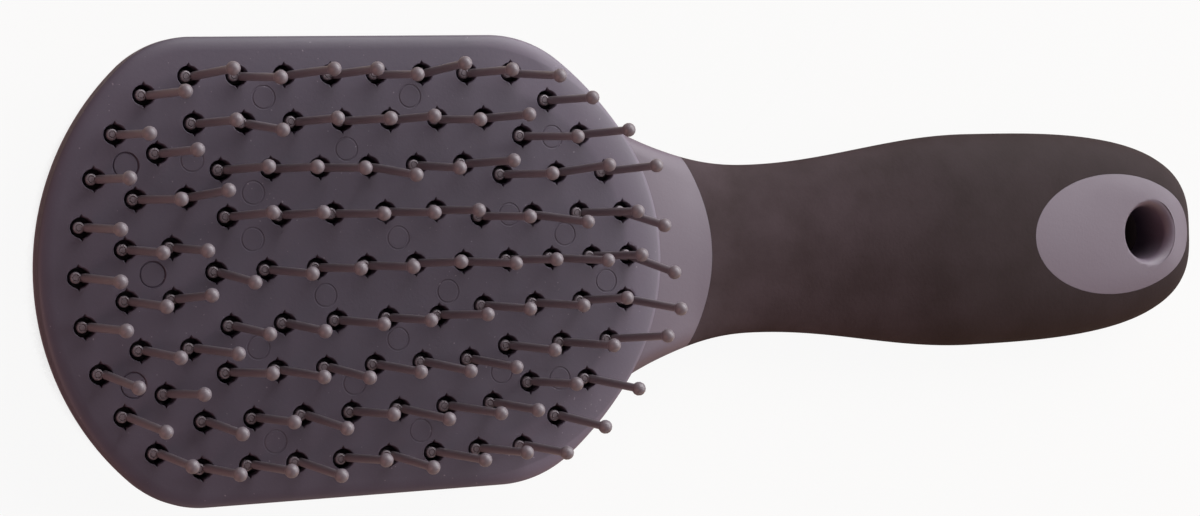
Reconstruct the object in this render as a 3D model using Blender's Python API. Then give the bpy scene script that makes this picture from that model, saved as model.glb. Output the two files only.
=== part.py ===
# Mane and tail brush: a rigid moulded body, a perforated face plate, moulded combs of ball-tipped
# pins held between the two, and a soft grip sleeve round the handle.
# Metres, +Z up. The brush lies on its back with its pins up, and the handle points to +X. The
# origin is on the surface it lies on, below the middle of its length and width.
import math

import bmesh
import bpy
from mathutils import Matrix, Vector, geometry

# Head, seen from above
LENGTH = 0.2521
HEAD_LENGTH = 0.1222
HEAD_WIDTH = 0.0846
NOSE_RADIUS = 0.0508
NOSE_CORNER_RADIUS = 0.0192
SHOULDER_RADIUS = 0.0235
SHOULDER_TURN = math.radians(38.0)
FLANK_RADIUS = 0.0640
FLANK_TURN = math.radians(55.0)

# Head, seen from the side
HEAD_THICKNESS = 0.0160
FACE_EDGE_ROLL = 0.0022
FACE_EDGE_DROP = 0.0010
BACK_EDGE_ROLL = 0.0170

# Handle, seen from above
NECK_WIDTH = 0.0334
NECK_FLARE_RADIUS = 0.0640
NECK_FLARE_TURN = math.radians(30.0)
NECK_TO_HEAD = 0.0225
TANG_LENGTH = 0.0070
TANG_TAPER = 0.0020
BELLY_WIDTH = 0.0435
BELLY_TO_END = 0.0554
END_FULLNESS = 2.95

# Handle, seen from the side
COLLAR_STEP = 0.0011
NECK_DROP = 0.0034
NECK_RISE = 0.0012
BELLY_DROP = 0.0002
END_DROP = 0.0020
END_RISE = 0.0015
TANG_RISE = 0.0004
COLLAR_SIDE_LINE = 0.0045
HANDLE_SIDE_LINE = 0.0078
COLLAR_EDGE_ROLL = 0.0035
HANDLE_EDGE_ROLL = 0.0115
HANDLE_CROWN = 0.0008

# Face plate and the shell under it
PLATE_THICKNESS = 0.0030
SHELL_WALL = 0.0022
LIP_WALL = 0.0010
LIP_DEPTH = 0.0012
RIB_THICKNESS = 0.0016
RIB_COUNT = 5
POST_DIAMETER = 0.0030
POST_DEPTH = 0.0060
SOCKET_WALL = 0.0007

# Grip sleeve, its window and the hang hole
COLLAR_LENGTH = 0.0123
GRIP_FRONT_RADIUS = 0.0345
GRIP_WALL = 0.0018
WINDOW_LENGTH = 0.0411
WINDOW_WIDTH = 0.0252
WINDOW_END_MARGIN = 0.0024
HANG_HOLE_DIAMETER = 0.0112
HANG_HOLE_TO_END = 0.0143
HANG_HOLE_LIP = 0.0015

# Pins, the studs beside them and the spines that carry both
PIN_HEIGHT = 0.0209
PIN_ROOT_DIAMETER = 0.0016
PIN_NECK_DIAMETER = 0.0014
BALL_DIAMETER = 0.0026
STUD_DIAMETER = 0.0021
ROOT_OVERLAP = 0.0003
SPINE_HEIGHT = 0.0045
SPINE_MARGIN = 0.0003
SPINE_END = 0.0008

# Holes in the face plate
PIN_CLEARANCE = 0.0002
STUD_CLEARANCE = 0.0006
HOLE_SIDE_ROOM = 0.0008
NOTCH_WIDTH = 0.0006
NOTCH_DEPTH = 0.0005

# Pins on the nose: arcs across the head, as (name, pins, radius, half angle)
NOSE_ARC_MARGIN = 0.00715
OUTER_ARC_RADIUS = 0.0458
MIDDLE_ARC_RADIUS = 0.0375
INNER_ARC_RADIUS = 0.0290
NOSE_ARCS = (
    ("nose_comb_outer", 9, OUTER_ARC_RADIUS, math.radians(44.2)),
    ("nose_comb_middle", 6, MIDDLE_ARC_RADIUS, math.radians(35.0)),
    ("nose_comb_inner", 4, INNER_ARC_RADIUS, math.radians(27.7)),
)

# Straight rows on each side, from the outer one inwards: nose to first pin and last pin to ridge.
# The rows are spread evenly from the outer margin to the gap at the axis.
ROW_MARGIN = 0.0071
ROW_AXIS_GAP = 0.0098
ROW_1_START = 0.0285
ROW_1_END = 0.0308
ROW_2_START = 0.0292
ROW_2_END = 0.0366
ROW_3_START = 0.0339
ROW_3_END = 0.0410
ROW_4_START = 0.0349
ROW_4_END = 0.0468
SIDE_ROWS = (
    ("side_comb_1", 8, ROW_1_START, ROW_1_END),
    ("side_comb_2", 7, ROW_2_START, ROW_2_END),
    ("side_comb_3", 6, ROW_3_START, ROW_3_END),
    ("side_comb_4", 5, ROW_4_START, ROW_4_END),
)

# Middle row: an even run, then a shorter run that crowds up towards the ridge
MIDDLE_PINS = 6
MIDDLE_START = 0.0324
MIDDLE_END = 0.0416
MIDDLE_RIDGE_PINS = 4
MIDDLE_RIDGE_START = 0.0324
MIDDLE_RIDGE_END = 0.0073

# Shoulder rows on each side, from the inner one outwards: first and last pin to ridge. The rows
# crowd up outwards, from the gap at the axis to the margin, and their pins towards the ridge.
CROWDING = 0.11
SHOULDER_AXIS_GAP = 0.0084
SHOULDER_MARGIN = 0.0124
SHOULDER_1_START = 0.0378
SHOULDER_1_END = 0.0083
SHOULDER_2_START = 0.0331
SHOULDER_2_END = 0.0120
SHOULDER_3_START = 0.0288
SHOULDER_3_END = 0.0169
SHOULDER_4_START = 0.0234
SHOULDER_ROWS = (
    (4, SHOULDER_1_START, SHOULDER_1_END),
    (3, SHOULDER_2_START, SHOULDER_2_END),
    (2, SHOULDER_3_START, SHOULDER_3_END),
    (1, SHOULDER_4_START, SHOULDER_4_START),
)

# Assembly gap between touching pieces, and how far a cutter or a root runs past a face
GAP = 0.0003
OVERRUN = 0.0010

# Looks, as (linear RGB, roughness)
BODY_LOOK = ((0.19, 0.17, 0.19), 0.5)
PLATE_LOOK = ((0.15, 0.13, 0.15), 0.5)
PIN_LOOK = ((0.26, 0.22, 0.22), 0.45)
GRIP_LOOK = ((0.045, 0.034, 0.036), 0.75)

# Facets
ROLL_STEPS = 4
PIN_SIDES = 6
POST_SIDES = 10
RIM_STEPS = 28
FRONT_STEPS = 24

# Places worked out from the sizes above
NOSE_X = -LENGTH / 2
END_X = LENGTH / 2
RIDGE_X = NOSE_X + HEAD_LENGTH
NECK_X = RIDGE_X + NECK_TO_HEAD
GRIP_X = RIDGE_X + COLLAR_LENGTH
BELLY_X = END_X - BELLY_TO_END
HOLE_X = END_X - HANG_HOLE_TO_END
PLATE_TOP = HEAD_THICKNESS
PLATE_UNDER = PLATE_TOP - PLATE_THICKNESS
SHELL_RIM = PLATE_UNDER - GAP
PARTING = PLATE_UNDER - GAP / 2
SPINE_TOP = PLATE_UNDER - GAP
RIB_TOP = SPINE_TOP - SPINE_HEIGHT - GAP
ROW_Y = HEAD_WIDTH / 2 - ROW_MARGIN
ROW_GAP = (ROW_Y - ROW_AXIS_GAP) / (len(SIDE_ROWS) - 1)
ARC_CENTER_X = NOSE_X + NOSE_ARC_MARGIN + NOSE_ARCS[0][2]
HOLE_LENGTH = STUD_CLEARANCE + STUD_DIAMETER - ROOT_OVERLAP + PIN_ROOT_DIAMETER + PIN_CLEARANCE
HOLE_WIDTH = STUD_DIAMETER + 2 * HOLE_SIDE_ROOM
STUD_DX = -HOLE_LENGTH / 2 + STUD_CLEARANCE + STUD_DIAMETER / 2
PIN_DX = HOLE_LENGTH / 2 - PIN_CLEARANCE - PIN_ROOT_DIAMETER / 2
ROOT_BACK = STUD_DX - STUD_DIAMETER / 2 - SPINE_MARGIN
ROOT_FRONT = PIN_DX + PIN_ROOT_DIAMETER / 2 + SPINE_MARGIN
SPINE_WIDTH = max(STUD_DIAMETER, PIN_ROOT_DIAMETER) + 2 * SPINE_MARGIN
LIP_SETBACK = SHELL_WALL + 2 * GAP
FAR = 2 * LENGTH


def ease(stations, x):
    """Value at x of a curve that eases from each (x, value) station to the next."""
    for (x0, v0), (x1, v1) in zip(stations, stations[1:]):
        if x <= x1:
            share = max(0.0, (x - x0) / (x1 - x0))
            return v0 + (v1 - v0) * (1 - math.cos(math.pi * share)) / 2
    return stations[-1][1]


def arc(center, radius, start, end, steps):
    """Points of a circular arc, its first point left out."""
    angles = [start + (end - start) * i / steps for i in range(1, steps + 1)]
    return [(center[0] + radius * math.cos(a), center[1] + radius * math.sin(a)) for a in angles]


def head_outline():
    """Half outline of the head, from the nose over the side and the flank to the ridge."""
    half = HEAD_WIDTH / 2
    right_angle = math.pi / 2
    nose_center = NOSE_X + NOSE_RADIUS
    corner_y = half - NOSE_CORNER_RADIUS
    corner_x = nose_center - math.sqrt((NOSE_RADIUS - NOSE_CORNER_RADIUS) ** 2 - corner_y ** 2)
    touch = math.pi - math.atan2(corner_y, nose_center - corner_x)

    shoulder_end_y = half - SHOULDER_RADIUS * (1 - math.cos(SHOULDER_TURN))
    flank_y = shoulder_end_y - FLANK_RADIUS * (math.cos(SHOULDER_TURN) - math.cos(FLANK_TURN))
    ridge_radius = flank_y / math.cos(FLANK_TURN)
    flank_x = RIDGE_X - ridge_radius * (1 - math.sin(FLANK_TURN))
    shoulder_end_x = flank_x - FLANK_RADIUS * (math.sin(FLANK_TURN) - math.sin(SHOULDER_TURN))
    shoulder = (shoulder_end_x - SHOULDER_RADIUS * math.sin(SHOULDER_TURN), half - SHOULDER_RADIUS)
    flank = (flank_x - FLANK_RADIUS * math.sin(FLANK_TURN), flank_y - FLANK_RADIUS * math.cos(FLANK_TURN))

    points = [(NOSE_X, 0.0)]
    points += arc((nose_center, 0.0), NOSE_RADIUS, math.pi, touch, 6)
    points += arc((corner_x, corner_y), NOSE_CORNER_RADIUS, touch, right_angle, 5)
    points += [((corner_x + shoulder[0]) / 2, half), (shoulder[0], half)]
    points += arc(shoulder, SHOULDER_RADIUS, right_angle, right_angle - SHOULDER_TURN, 4)
    points += arc(flank, FLANK_RADIUS, right_angle - SHOULDER_TURN, right_angle - FLANK_TURN, 2)
    points += arc((RIDGE_X - ridge_radius, 0.0), ridge_radius, right_angle - FLANK_TURN, 0.0, 5)
    points[-1] = (RIDGE_X, 0.0)
    return points


def handle_outline():
    """Half outline of the tang inside the head, the flared neck and the handle to its end."""
    neck_y = NECK_WIDTH / 2
    belly_y = BELLY_WIDTH / 2
    flare_center = (NECK_X, neck_y + NECK_FLARE_RADIUS)
    flare_start = -math.pi / 2 - NECK_FLARE_TURN
    flare = (flare_center[0] + NECK_FLARE_RADIUS * math.cos(flare_start),
             flare_center[1] + NECK_FLARE_RADIUS * math.sin(flare_start))

    points = [(flare[0] - TANG_LENGTH, flare[1] - TANG_TAPER), flare]
    points += arc(flare_center, NECK_FLARE_RADIUS, flare_start, -math.pi / 2, 6)
    for i in range(1, 7):
        x = NECK_X + (BELLY_X - NECK_X) * i / 6
        points.append((x, ease(((NECK_X, neck_y), (BELLY_X, belly_y)), x)))
    for i in range(1, 10):
        angle = math.pi / 2 * i / 10
        points.append((BELLY_X + BELLY_TO_END * math.sin(angle) ** (2 / END_FULLNESS),
                       belly_y * math.cos(angle) ** (2 / END_FULLNESS)))
    return points + [(END_X, 0.0)]


class Form:
    """A rounded solid over an outline. Its sizes ease along X, from station to station. Face and
    back are heights, side is the height of its widest line, and wall is how far its side runs
    straight down from there. The two rolls are how far its edges curve in, and the crown lifts
    the middle above them."""

    def __init__(self, outline, face, back, side, wall, face_roll, back_roll, crown):
        self.outline = outline
        self.face = face
        self.back = back
        self.side = side
        self.wall = wall
        self.face_roll = face_roll
        self.back_roll = back_roll
        self.crown = crown

    def inward(self, index):
        """Unit vector at one outline point, pointing into the form."""
        if self.outline[index][1] == 0.0:
            return Vector((1.0 if index == 0 else -1.0, 0.0))
        if index == 0:
            return Vector((0.0, -1.0))
        first = 0 if self.outline[0][1] == 0.0 else 1
        tangent = Vector(self.outline[index + 1]) - Vector(self.outline[max(index - 1, first)])
        tangent.normalize()
        return Vector((tangent.y, -tangent.x))

    def section(self, index, inset):
        """Half section at one outline point, from the face over the side to the back."""
        point = Vector(self.outline[index])
        normal = self.inward(index)
        crown = ease(self.crown, point.x)
        upper = ease(self.side, point.x)
        lower = upper - ease(self.wall, point.x)
        ring = []
        for heights, rolls, side, sign in ((self.face, self.face_roll, upper, 1.0),
                                           (self.back, self.back_roll, lower, -1.0)):
            roll = max(ease(rolls, point.x), inset + GAP)
            inner = point + normal * roll
            limit = ease(heights, inner.x) - sign * inset
            half = []
            for step in range(ROLL_STEPS + 1):
                angle = math.pi / 2 * step / ROLL_STEPS
                spot = point + normal * (inset + (roll - inset) * (1 - math.cos(angle)))
                z = side + (limit - sign * crown - side) * math.sin(angle)
                half.append((spot.x, max(spot.y, 0.0), z))
            half.append((inner.x, 0.0, limit))
            ring = half[::-1] if sign > 0 else ring + half
        return ring

    def solid(self, name, inset=0.0):
        """The form as a closed solid, with its surface moved inwards by inset."""
        bm = bmesh.new()
        chains = []
        for index in range(len(self.outline)):
            verts = [bm.verts.new(co) for co in self.section(index, inset)]
            chains.append([bm.edges.new(pair) for pair in zip(verts, verts[1:])])
        for first, second in zip(chains, chains[1:]):
            bmesh.ops.bridge_loops(bm, edges=first + second)
        bmesh.ops.mirror(bm, geom=bm.verts[:] + bm.edges[:] + bm.faces[:], axis="Y", merge_dist=1e-6)
        bmesh.ops.remove_doubles(bm, verts=bm.verts, dist=1e-6)
        bmesh.ops.dissolve_degenerate(bm, dist=1e-7, edges=bm.edges)
        bmesh.ops.holes_fill(bm, edges=[edge for edge in bm.edges if edge.is_boundary])
        bmesh.ops.recalc_face_normals(bm, faces=bm.faces)
        return merge_flat_faces(add_object(name, bm))

    def column(self, name, inset, bottom, top):
        """Upright solid between two heights, over the outline moved inwards by inset."""
        half = [Vector(point) + self.inward(i) * inset for i, point in enumerate(self.outline)]
        full = [(p.x, p.y) for p in half] + [(p.x, -p.y) for p in reversed(half[1:-1])]
        return prism(name, full, bottom, top)


def level(value):
    """A height or roll that stays the same all along the brush."""
    return ((NOSE_X, value), (END_X, value))


HEAD = Form(
    head_outline(),
    face=level(PLATE_TOP),
    back=level(0.0),
    side=level(PLATE_TOP - FACE_EDGE_DROP),
    wall=level(PLATE_TOP - FACE_EDGE_DROP - PARTING),
    face_roll=level(FACE_EDGE_ROLL),
    back_roll=level(BACK_EDGE_ROLL),
    crown=level(0.0),
)
HANDLE = Form(
    handle_outline(),
    face=((RIDGE_X, PLATE_TOP - COLLAR_STEP), (NECK_X, PLATE_TOP - NECK_DROP),
          (BELLY_X, PLATE_TOP - BELLY_DROP), (END_X, PLATE_TOP - END_DROP)),
    back=((RIDGE_X, TANG_RISE), (NECK_X, NECK_RISE), (BELLY_X, 0.0), (END_X, END_RISE)),
    side=((RIDGE_X, PLATE_TOP - COLLAR_SIDE_LINE), (NECK_X, PLATE_TOP - HANDLE_SIDE_LINE),
          (END_X, PLATE_TOP - HANDLE_SIDE_LINE)),
    wall=level(0.0),
    face_roll=((RIDGE_X, COLLAR_EDGE_ROLL), (NECK_X, HANDLE_EDGE_ROLL), (END_X, HANDLE_EDGE_ROLL)),
    back_roll=level(HANDLE_EDGE_ROLL),
    crown=((RIDGE_X, 0.0), (NECK_X, HANDLE_CROWN), (BELLY_X, HANDLE_CROWN), (END_X, 0.0)),
)


def clear_scene():
    for obj in list(bpy.data.objects):
        bpy.data.objects.remove(obj, do_unlink=True)


def material(name, look):
    color, roughness = look
    mat = bpy.data.materials.new(name)
    mat.use_nodes = True
    shader = mat.node_tree.nodes["Principled BSDF"]
    shader.inputs["Base Color"].default_value = (*color, 1.0)
    shader.inputs["Roughness"].default_value = roughness
    shader.inputs["Metallic"].default_value = 0.0
    return mat


def add_object(name, bm):
    mesh = bpy.data.meshes.new(name)
    bm.to_mesh(mesh)
    bm.free()
    obj = bpy.data.objects.new(name, mesh)
    bpy.context.scene.collection.objects.link(obj)
    return obj


def combine(target, operation, *tools):
    """Apply one exact Boolean per tool to the target, and remove the tools."""
    for tool in tools:
        modifier = target.modifiers.new(operation.lower(), "BOOLEAN")
        modifier.operation = operation
        modifier.solver = "EXACT"
        modifier.object = tool
    depsgraph = bpy.context.evaluated_depsgraph_get()
    mesh = bpy.data.meshes.new_from_object(target.evaluated_get(depsgraph))
    target.modifiers.clear()
    target.data = mesh
    for tool in tools:
        bpy.data.objects.remove(tool, do_unlink=True)
    return target


def merge_flat_faces(obj):
    """Join faces that lie in one plane, so that later cuts leave few slivers."""
    bm = bmesh.new()
    bm.from_mesh(obj.data)
    bmesh.ops.remove_doubles(bm, verts=bm.verts, dist=1e-6)
    bmesh.ops.dissolve_limit(bm, angle_limit=math.radians(0.05), verts=bm.verts, edges=bm.edges)
    bm.to_mesh(obj.data)
    bm.free()
    return obj


def finish(obj, look, sharp_angle=35.0):
    """Clear the Booleans' doubled points, then give the piece its own material and its shading."""
    bm = bmesh.new()
    bm.from_mesh(obj.data)
    bmesh.ops.remove_doubles(bm, verts=bm.verts, dist=1e-6)
    bmesh.ops.dissolve_degenerate(bm, dist=1e-7, edges=bm.edges)
    bm.to_mesh(obj.data)
    bm.free()
    obj.data.materials.clear()
    obj.data.materials.append(material(f"{obj.name}_material", look))
    obj.data.shade_smooth()
    obj.data.set_sharp_from_angle(angle=math.radians(sharp_angle))
    return obj


def raise_face(bm, points, bottom, top):
    """Add an upright prism over an outline of (x, y) points."""
    face = bm.faces.new([bm.verts.new((x, y, bottom)) for x, y in points])
    grown = bmesh.ops.extrude_face_region(bm, geom=[face])["geom"]
    verts = [item for item in grown if isinstance(item, bmesh.types.BMVert)]
    bmesh.ops.translate(bm, verts=verts, vec=(0.0, 0.0, top - bottom))


def prism(name, points, bottom, top):
    bm = bmesh.new()
    raise_face(bm, points, bottom, top)
    bmesh.ops.recalc_face_normals(bm, faces=bm.faces)
    return add_object(name, bm)


def slab(name, bottom, top):
    """Everything between two heights."""
    return prism(name, [(-FAR, -FAR), (FAR, -FAR), (FAR, FAR), (-FAR, FAR)], bottom, top)


def grip_side(name, setback, behind):
    """Everything on one side of the arc where the grip sleeve starts, which bulges to +X."""
    reach = math.radians(80)
    center_x = GRIP_X - setback - GRIP_FRONT_RADIUS
    edge = [(center_x + GRIP_FRONT_RADIUS * math.cos(a), GRIP_FRONT_RADIUS * math.sin(a))
            for a in [reach * (2 * i / FRONT_STEPS - 1) for i in range(FRONT_STEPS + 1)]]
    outer_x = FAR if behind else -FAR
    edge = [(edge[0][0], -FAR)] + edge + [(edge[0][0], FAR), (outer_x, FAR), (outer_x, -FAR)]
    return prism(name, edge, -FAR, FAR)


def window(name, clearance):
    """Upright oval through the handle, where the grip sleeve is open on both faces."""
    half_length = WINDOW_LENGTH / 2 - clearance
    half_width = WINDOW_WIDTH / 2 - clearance
    center_x = END_X - WINDOW_END_MARGIN - WINDOW_LENGTH / 2
    angles = [2 * math.pi * i / RIM_STEPS for i in range(RIM_STEPS)]
    oval = [(center_x + half_length * math.cos(a), half_width * math.sin(a)) for a in angles]
    return prism(name, oval, -FAR, FAR)


def turned_set(name, profile, sides, places):
    """A turned solid at each (x, y) place, from a profile of (radius, height) points that starts
    and ends on the axis."""
    single = bmesh.new()
    verts = [single.verts.new((radius, 0.0, height)) for radius, height in profile]
    edges = [single.edges.new(pair) for pair in zip(verts, verts[1:])]
    bmesh.ops.spin(single, geom=verts + edges, cent=(0.0, 0.0, 0.0), axis=(0.0, 0.0, 1.0),
                   dvec=(0.0, 0.0, 0.0), angle=2 * math.pi, steps=sides, use_merge=True)
    bmesh.ops.remove_doubles(single, verts=single.verts, dist=1e-7)
    bmesh.ops.recalc_face_normals(single, faces=single.faces)
    mesh = bpy.data.meshes.new(name)
    single.to_mesh(mesh)
    count = len(single.verts)
    single.free()

    bm = bmesh.new()
    for x, y in places:
        bm.from_mesh(mesh)
        bm.verts.ensure_lookup_table()
        bmesh.ops.translate(bm, verts=bm.verts[-count:], vec=(x, y, 0.0))
    bpy.data.meshes.remove(mesh)
    return add_object(name, bm)


def cylinder_set(name, diameter, bottom, top, sides, places):
    profile = ((0.0, bottom), (diameter / 2, bottom), (diameter / 2, top), (0.0, top))
    return turned_set(name, profile, sides, places)


def pin_profile():
    """Half profile of a pin: a tapered shaft under a ball."""
    ball = BALL_DIAMETER / 2
    neck = PIN_NECK_DIAMETER / 2
    tip = PLATE_TOP + PIN_HEIGHT
    center = tip - ball
    latitude = math.radians(26)
    points = [(0.0, SPINE_TOP - OVERRUN), (PIN_ROOT_DIAMETER / 2, SPINE_TOP - OVERRUN)]
    points.append((neck, center - math.sqrt(ball ** 2 - neck ** 2)))
    for angle in (-latitude, latitude):
        points.append((ball * math.cos(angle), center + ball * math.sin(angle)))
    return points + [(0.0, tip)]


def hole_outline(x, y):
    """Outline of one hole: an oval along X with a pointed notch at each side."""
    half_length = HOLE_LENGTH / 2
    half_width = HOLE_WIDTH / 2
    notch = math.asin(NOTCH_WIDTH / 2 / half_length)
    angles = [(i / 2 - 1) * (math.pi / 2 - notch) for i in range(5)]
    front = [(half_length * math.cos(a), half_width * math.sin(a)) for a in angles]
    back = [(-px, py) for px, py in reversed(front)]
    peak = half_width + NOTCH_DEPTH
    return [(x + px, y + py) for px, py in front + [(0.0, peak)] + back + [(0.0, -peak)]]


def spread(first, last, count, crowding=0.0):
    """Values from first to last. Crowding draws them together towards the last one."""
    if count == 1:
        return [first]
    shares = [i / (count - 1) for i in range(count)]
    return [first + (last - first) * (t + crowding * t * (1 - t)) for t in shares]


def run(first, last, count, y, crowding=0.0):
    """Pin places along X at one y."""
    return [(x, y) for x in spread(first, last, count, crowding)]


def arc_places(radius, half_angle, count):
    angles = [half_angle * (2 * i / (count - 1) - 1) for i in range(count)]
    return [(ARC_CENTER_X - radius * math.cos(a), radius * math.sin(a)) for a in angles]


def side_places(index, sign):
    _, count, start, end = SIDE_ROWS[index]
    return run(NOSE_X + start, RIDGE_X - end, count, sign * (ROW_Y - ROW_GAP * index))


def middle_places():
    return (run(NOSE_X + MIDDLE_START, RIDGE_X - MIDDLE_END, MIDDLE_PINS, 0.0)
            + run(RIDGE_X - MIDDLE_RIDGE_START, RIDGE_X - MIDDLE_RIDGE_END, MIDDLE_RIDGE_PINS, 0.0,
                  CROWDING))


def shoulder_places(sign):
    rows = spread(SHOULDER_AXIS_GAP, HEAD_WIDTH / 2 - SHOULDER_MARGIN, len(SHOULDER_ROWS), CROWDING)
    return [place for y, (count, start, end) in zip(rows, SHOULDER_ROWS)
            for place in run(RIDGE_X - start, RIDGE_X - end, count, sign * y, CROWDING)]


def arc_spine(name, radius, half_angle):
    """Curved bar under the pins of an arc, its ends just past the last pins."""
    low = SPINE_TOP - SPINE_HEIGHT
    half_width = (ROOT_FRONT - ROOT_BACK) / 2
    reach = half_angle + ROOT_FRONT / radius
    steps = math.ceil(2 * reach * radius / (3 * SPINE_WIDTH))
    inner, outer = radius - half_width, radius + half_width
    bm = bmesh.new()
    corners = ((-outer, low), (-inner, low), (-inner, SPINE_TOP), (-outer, SPINE_TOP))
    face = bm.faces.new([bm.verts.new((x, 0.0, z)) for x, z in corners])
    bmesh.ops.rotate(bm, verts=bm.verts, cent=(0.0, 0.0, 0.0), matrix=Matrix.Rotation(-reach, 3, "Z"))
    bmesh.ops.spin(bm, geom=[face], cent=(0.0, 0.0, 0.0), axis=(0.0, 0.0, 1.0),
                   dvec=(0.0, 0.0, 0.0), angle=2 * reach, steps=steps, use_duplicate=False)
    center_x = ARC_CENTER_X + (ROOT_BACK + ROOT_FRONT) / 2
    bmesh.ops.translate(bm, verts=bm.verts, vec=(center_x, 0.0, 0.0))
    bmesh.ops.recalc_face_normals(bm, faces=bm.faces)
    return add_object(name, bm)


def hull_spine(name, places):
    """Flat carrier under a group of pins: the hull of their footprints. A row gives a bar."""
    half = SPINE_WIDTH / 2
    back = ROOT_BACK - SPINE_END
    front = ROOT_FRONT + SPINE_END
    corners = [(x + dx, y + dy) for x, y in places for dx in (back, front) for dy in (-half, half)]
    outline = [corners[i] for i in geometry.convex_hull_2d(corners)]
    return merge_flat_faces(prism(name, outline, SPINE_TOP - SPINE_HEIGHT, SPINE_TOP))


def make_comb(spine, places):
    """Fuse a stud and a pin onto a spine at each place."""
    root = SPINE_TOP - OVERRUN
    studs = cylinder_set("studs", STUD_DIAMETER, root, PLATE_TOP, PIN_SIDES,
                         [(x + STUD_DX, y) for x, y in places])
    pins = turned_set("pins", pin_profile(), PIN_SIDES, [(x + PIN_DX, y) for x, y in places])
    combine(spine, "UNION", studs, pins)
    return finish(spine, PIN_LOOK)


def make_combs():
    """Every comb of pins. Returns all pin places."""
    places = []
    for name, count, radius, half_angle in NOSE_ARCS:
        spots = arc_places(radius, half_angle, count)
        make_comb(arc_spine(name, radius, half_angle), spots)
        places += spots
    groups = [("middle_comb", middle_places())]
    for label, sign in (("left", 1.0), ("right", -1.0)):
        groups.append((f"{label}_shoulder_comb", shoulder_places(sign)))
        for index, row in enumerate(SIDE_ROWS):
            groups.append((f"{label}_{row[0]}", side_places(index, sign)))
    for name, spots in groups:
        make_comb(hull_spine(name, spots), spots)
        places += spots
    return places


def post_places():
    """Where the plate's posts press into the shell: between the second and third side rows."""
    y = ROW_Y - ROW_GAP * 1.5
    start = NOSE_X + SIDE_ROWS[2][2]
    end = RIDGE_X - SIDE_ROWS[2][3]
    return [(start + (end - start) * share, sign * y) for share in (0.12, 0.88) for sign in (1, -1)]


def make_face_plate(pin_places):
    plate = combine(HEAD.solid("face_plate"), "DIFFERENCE", slab("under", -FAR, PLATE_UNDER))
    merge_flat_faces(plate)
    lip = HEAD.column("lip", LIP_SETBACK, PLATE_UNDER - LIP_DEPTH, PLATE_UNDER + OVERRUN)
    combine(lip, "DIFFERENCE", HEAD.column("lip_core", LIP_SETBACK + LIP_WALL, -FAR, FAR))
    posts = cylinder_set("posts", POST_DIAMETER, PLATE_UNDER - POST_DEPTH, PLATE_UNDER + OVERRUN,
                         POST_SIDES, post_places())

    bm = bmesh.new()
    for x, y in pin_places:
        raise_face(bm, hole_outline(x, y), PLATE_UNDER - OVERRUN, PLATE_TOP + OVERRUN)
    bmesh.ops.recalc_face_normals(bm, faces=bm.faces)
    combine(plate, "DIFFERENCE", add_object("holes", bm))
    combine(plate, "UNION", lip, posts)
    return finish(plate, PLATE_LOOK)


def hang_hole():
    """Turned cutter for the hang hole, flared to a rounded lip at both faces."""
    radius = HANG_HOLE_DIAMETER / 2
    flare = [(radius + HANG_HOLE_LIP * (1 - math.cos(a)), HANG_HOLE_LIP * math.sin(a))
             for a in (0.0, math.radians(30), math.radians(60), math.radians(85))]
    lower_z = ease(HANDLE.back, HOLE_X) + HANG_HOLE_LIP
    upper_z = ease(HANDLE.face, HOLE_X) - HANG_HOLE_LIP
    lower = [(r, lower_z - dz) for r, dz in reversed(flare)]
    upper = [(r, upper_z + dz) for r, dz in flare]
    wide = flare[-1][0]
    profile = [(0.0, -FAR), (wide, -FAR)] + lower + upper + [(wide, FAR), (0.0, FAR)]
    return turned_set("hang_hole", profile, RIM_STEPS, [(HOLE_X, 0.0)])


def make_ribs():
    """Cross ribs on the shell's floor, up to the undersides of the spines."""
    pitch = HEAD_LENGTH / (RIB_COUNT + 1)
    half = RIB_THICKNESS / 2
    bm = bmesh.new()
    for i in range(RIB_COUNT):
        x = NOSE_X + pitch * (i + 1)
        corners = [(x - half, -HEAD_WIDTH), (x + half, -HEAD_WIDTH), (x + half, HEAD_WIDTH),
                   (x - half, HEAD_WIDTH)]
        raise_face(bm, corners, -OVERRUN, RIB_TOP)
    bmesh.ops.recalc_face_normals(bm, faces=bm.faces)
    return combine(add_object("ribs", bm), "INTERSECT", HEAD.solid("rib_limit", SHELL_WALL / 2))


def make_handle_body():
    neck = combine(HANDLE.solid("neck"), "DIFFERENCE", grip_side("past_collar", GAP, True))
    island = combine(window("island", GAP), "INTERSECT", HANDLE.solid("island_form"))
    core = HANDLE.solid("core", GRIP_WALL + GAP)
    body = combine(HEAD.solid("handle_body"), "UNION", neck, core, island)

    plate_seat = combine(HEAD.solid("plate_seat", -GAP), "DIFFERENCE", slab("kept", -FAR, SHELL_RIM))
    combine(body, "DIFFERENCE", plate_seat, HEAD.solid("pocket", SHELL_WALL))

    places = post_places()
    sockets = cylinder_set("sockets", POST_DIAMETER + 2 * (GAP + SOCKET_WALL), SHELL_WALL / 2,
                           PLATE_UNDER - LIP_DEPTH, POST_SIDES, places)
    bores = cylinder_set("bores", POST_DIAMETER + 2 * GAP, PLATE_UNDER - POST_DEPTH - GAP,
                         PLATE_TOP, POST_SIDES, places)
    combine(body, "UNION", make_ribs(), sockets)
    combine(body, "DIFFERENCE", bores, hang_hole())
    return finish(body, BODY_LOOK)


def make_grip():
    grip = HANDLE.solid("grip_sleeve")
    combine(grip, "DIFFERENCE", grip_side("before_grip", 0.0, False),
            HANDLE.solid("hollow", GRIP_WALL), window("opening", 0.0))
    return finish(grip, GRIP_LOOK)


def main():
    clear_scene()
    make_handle_body()
    make_grip()
    make_face_plate(make_combs())


main()
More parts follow.
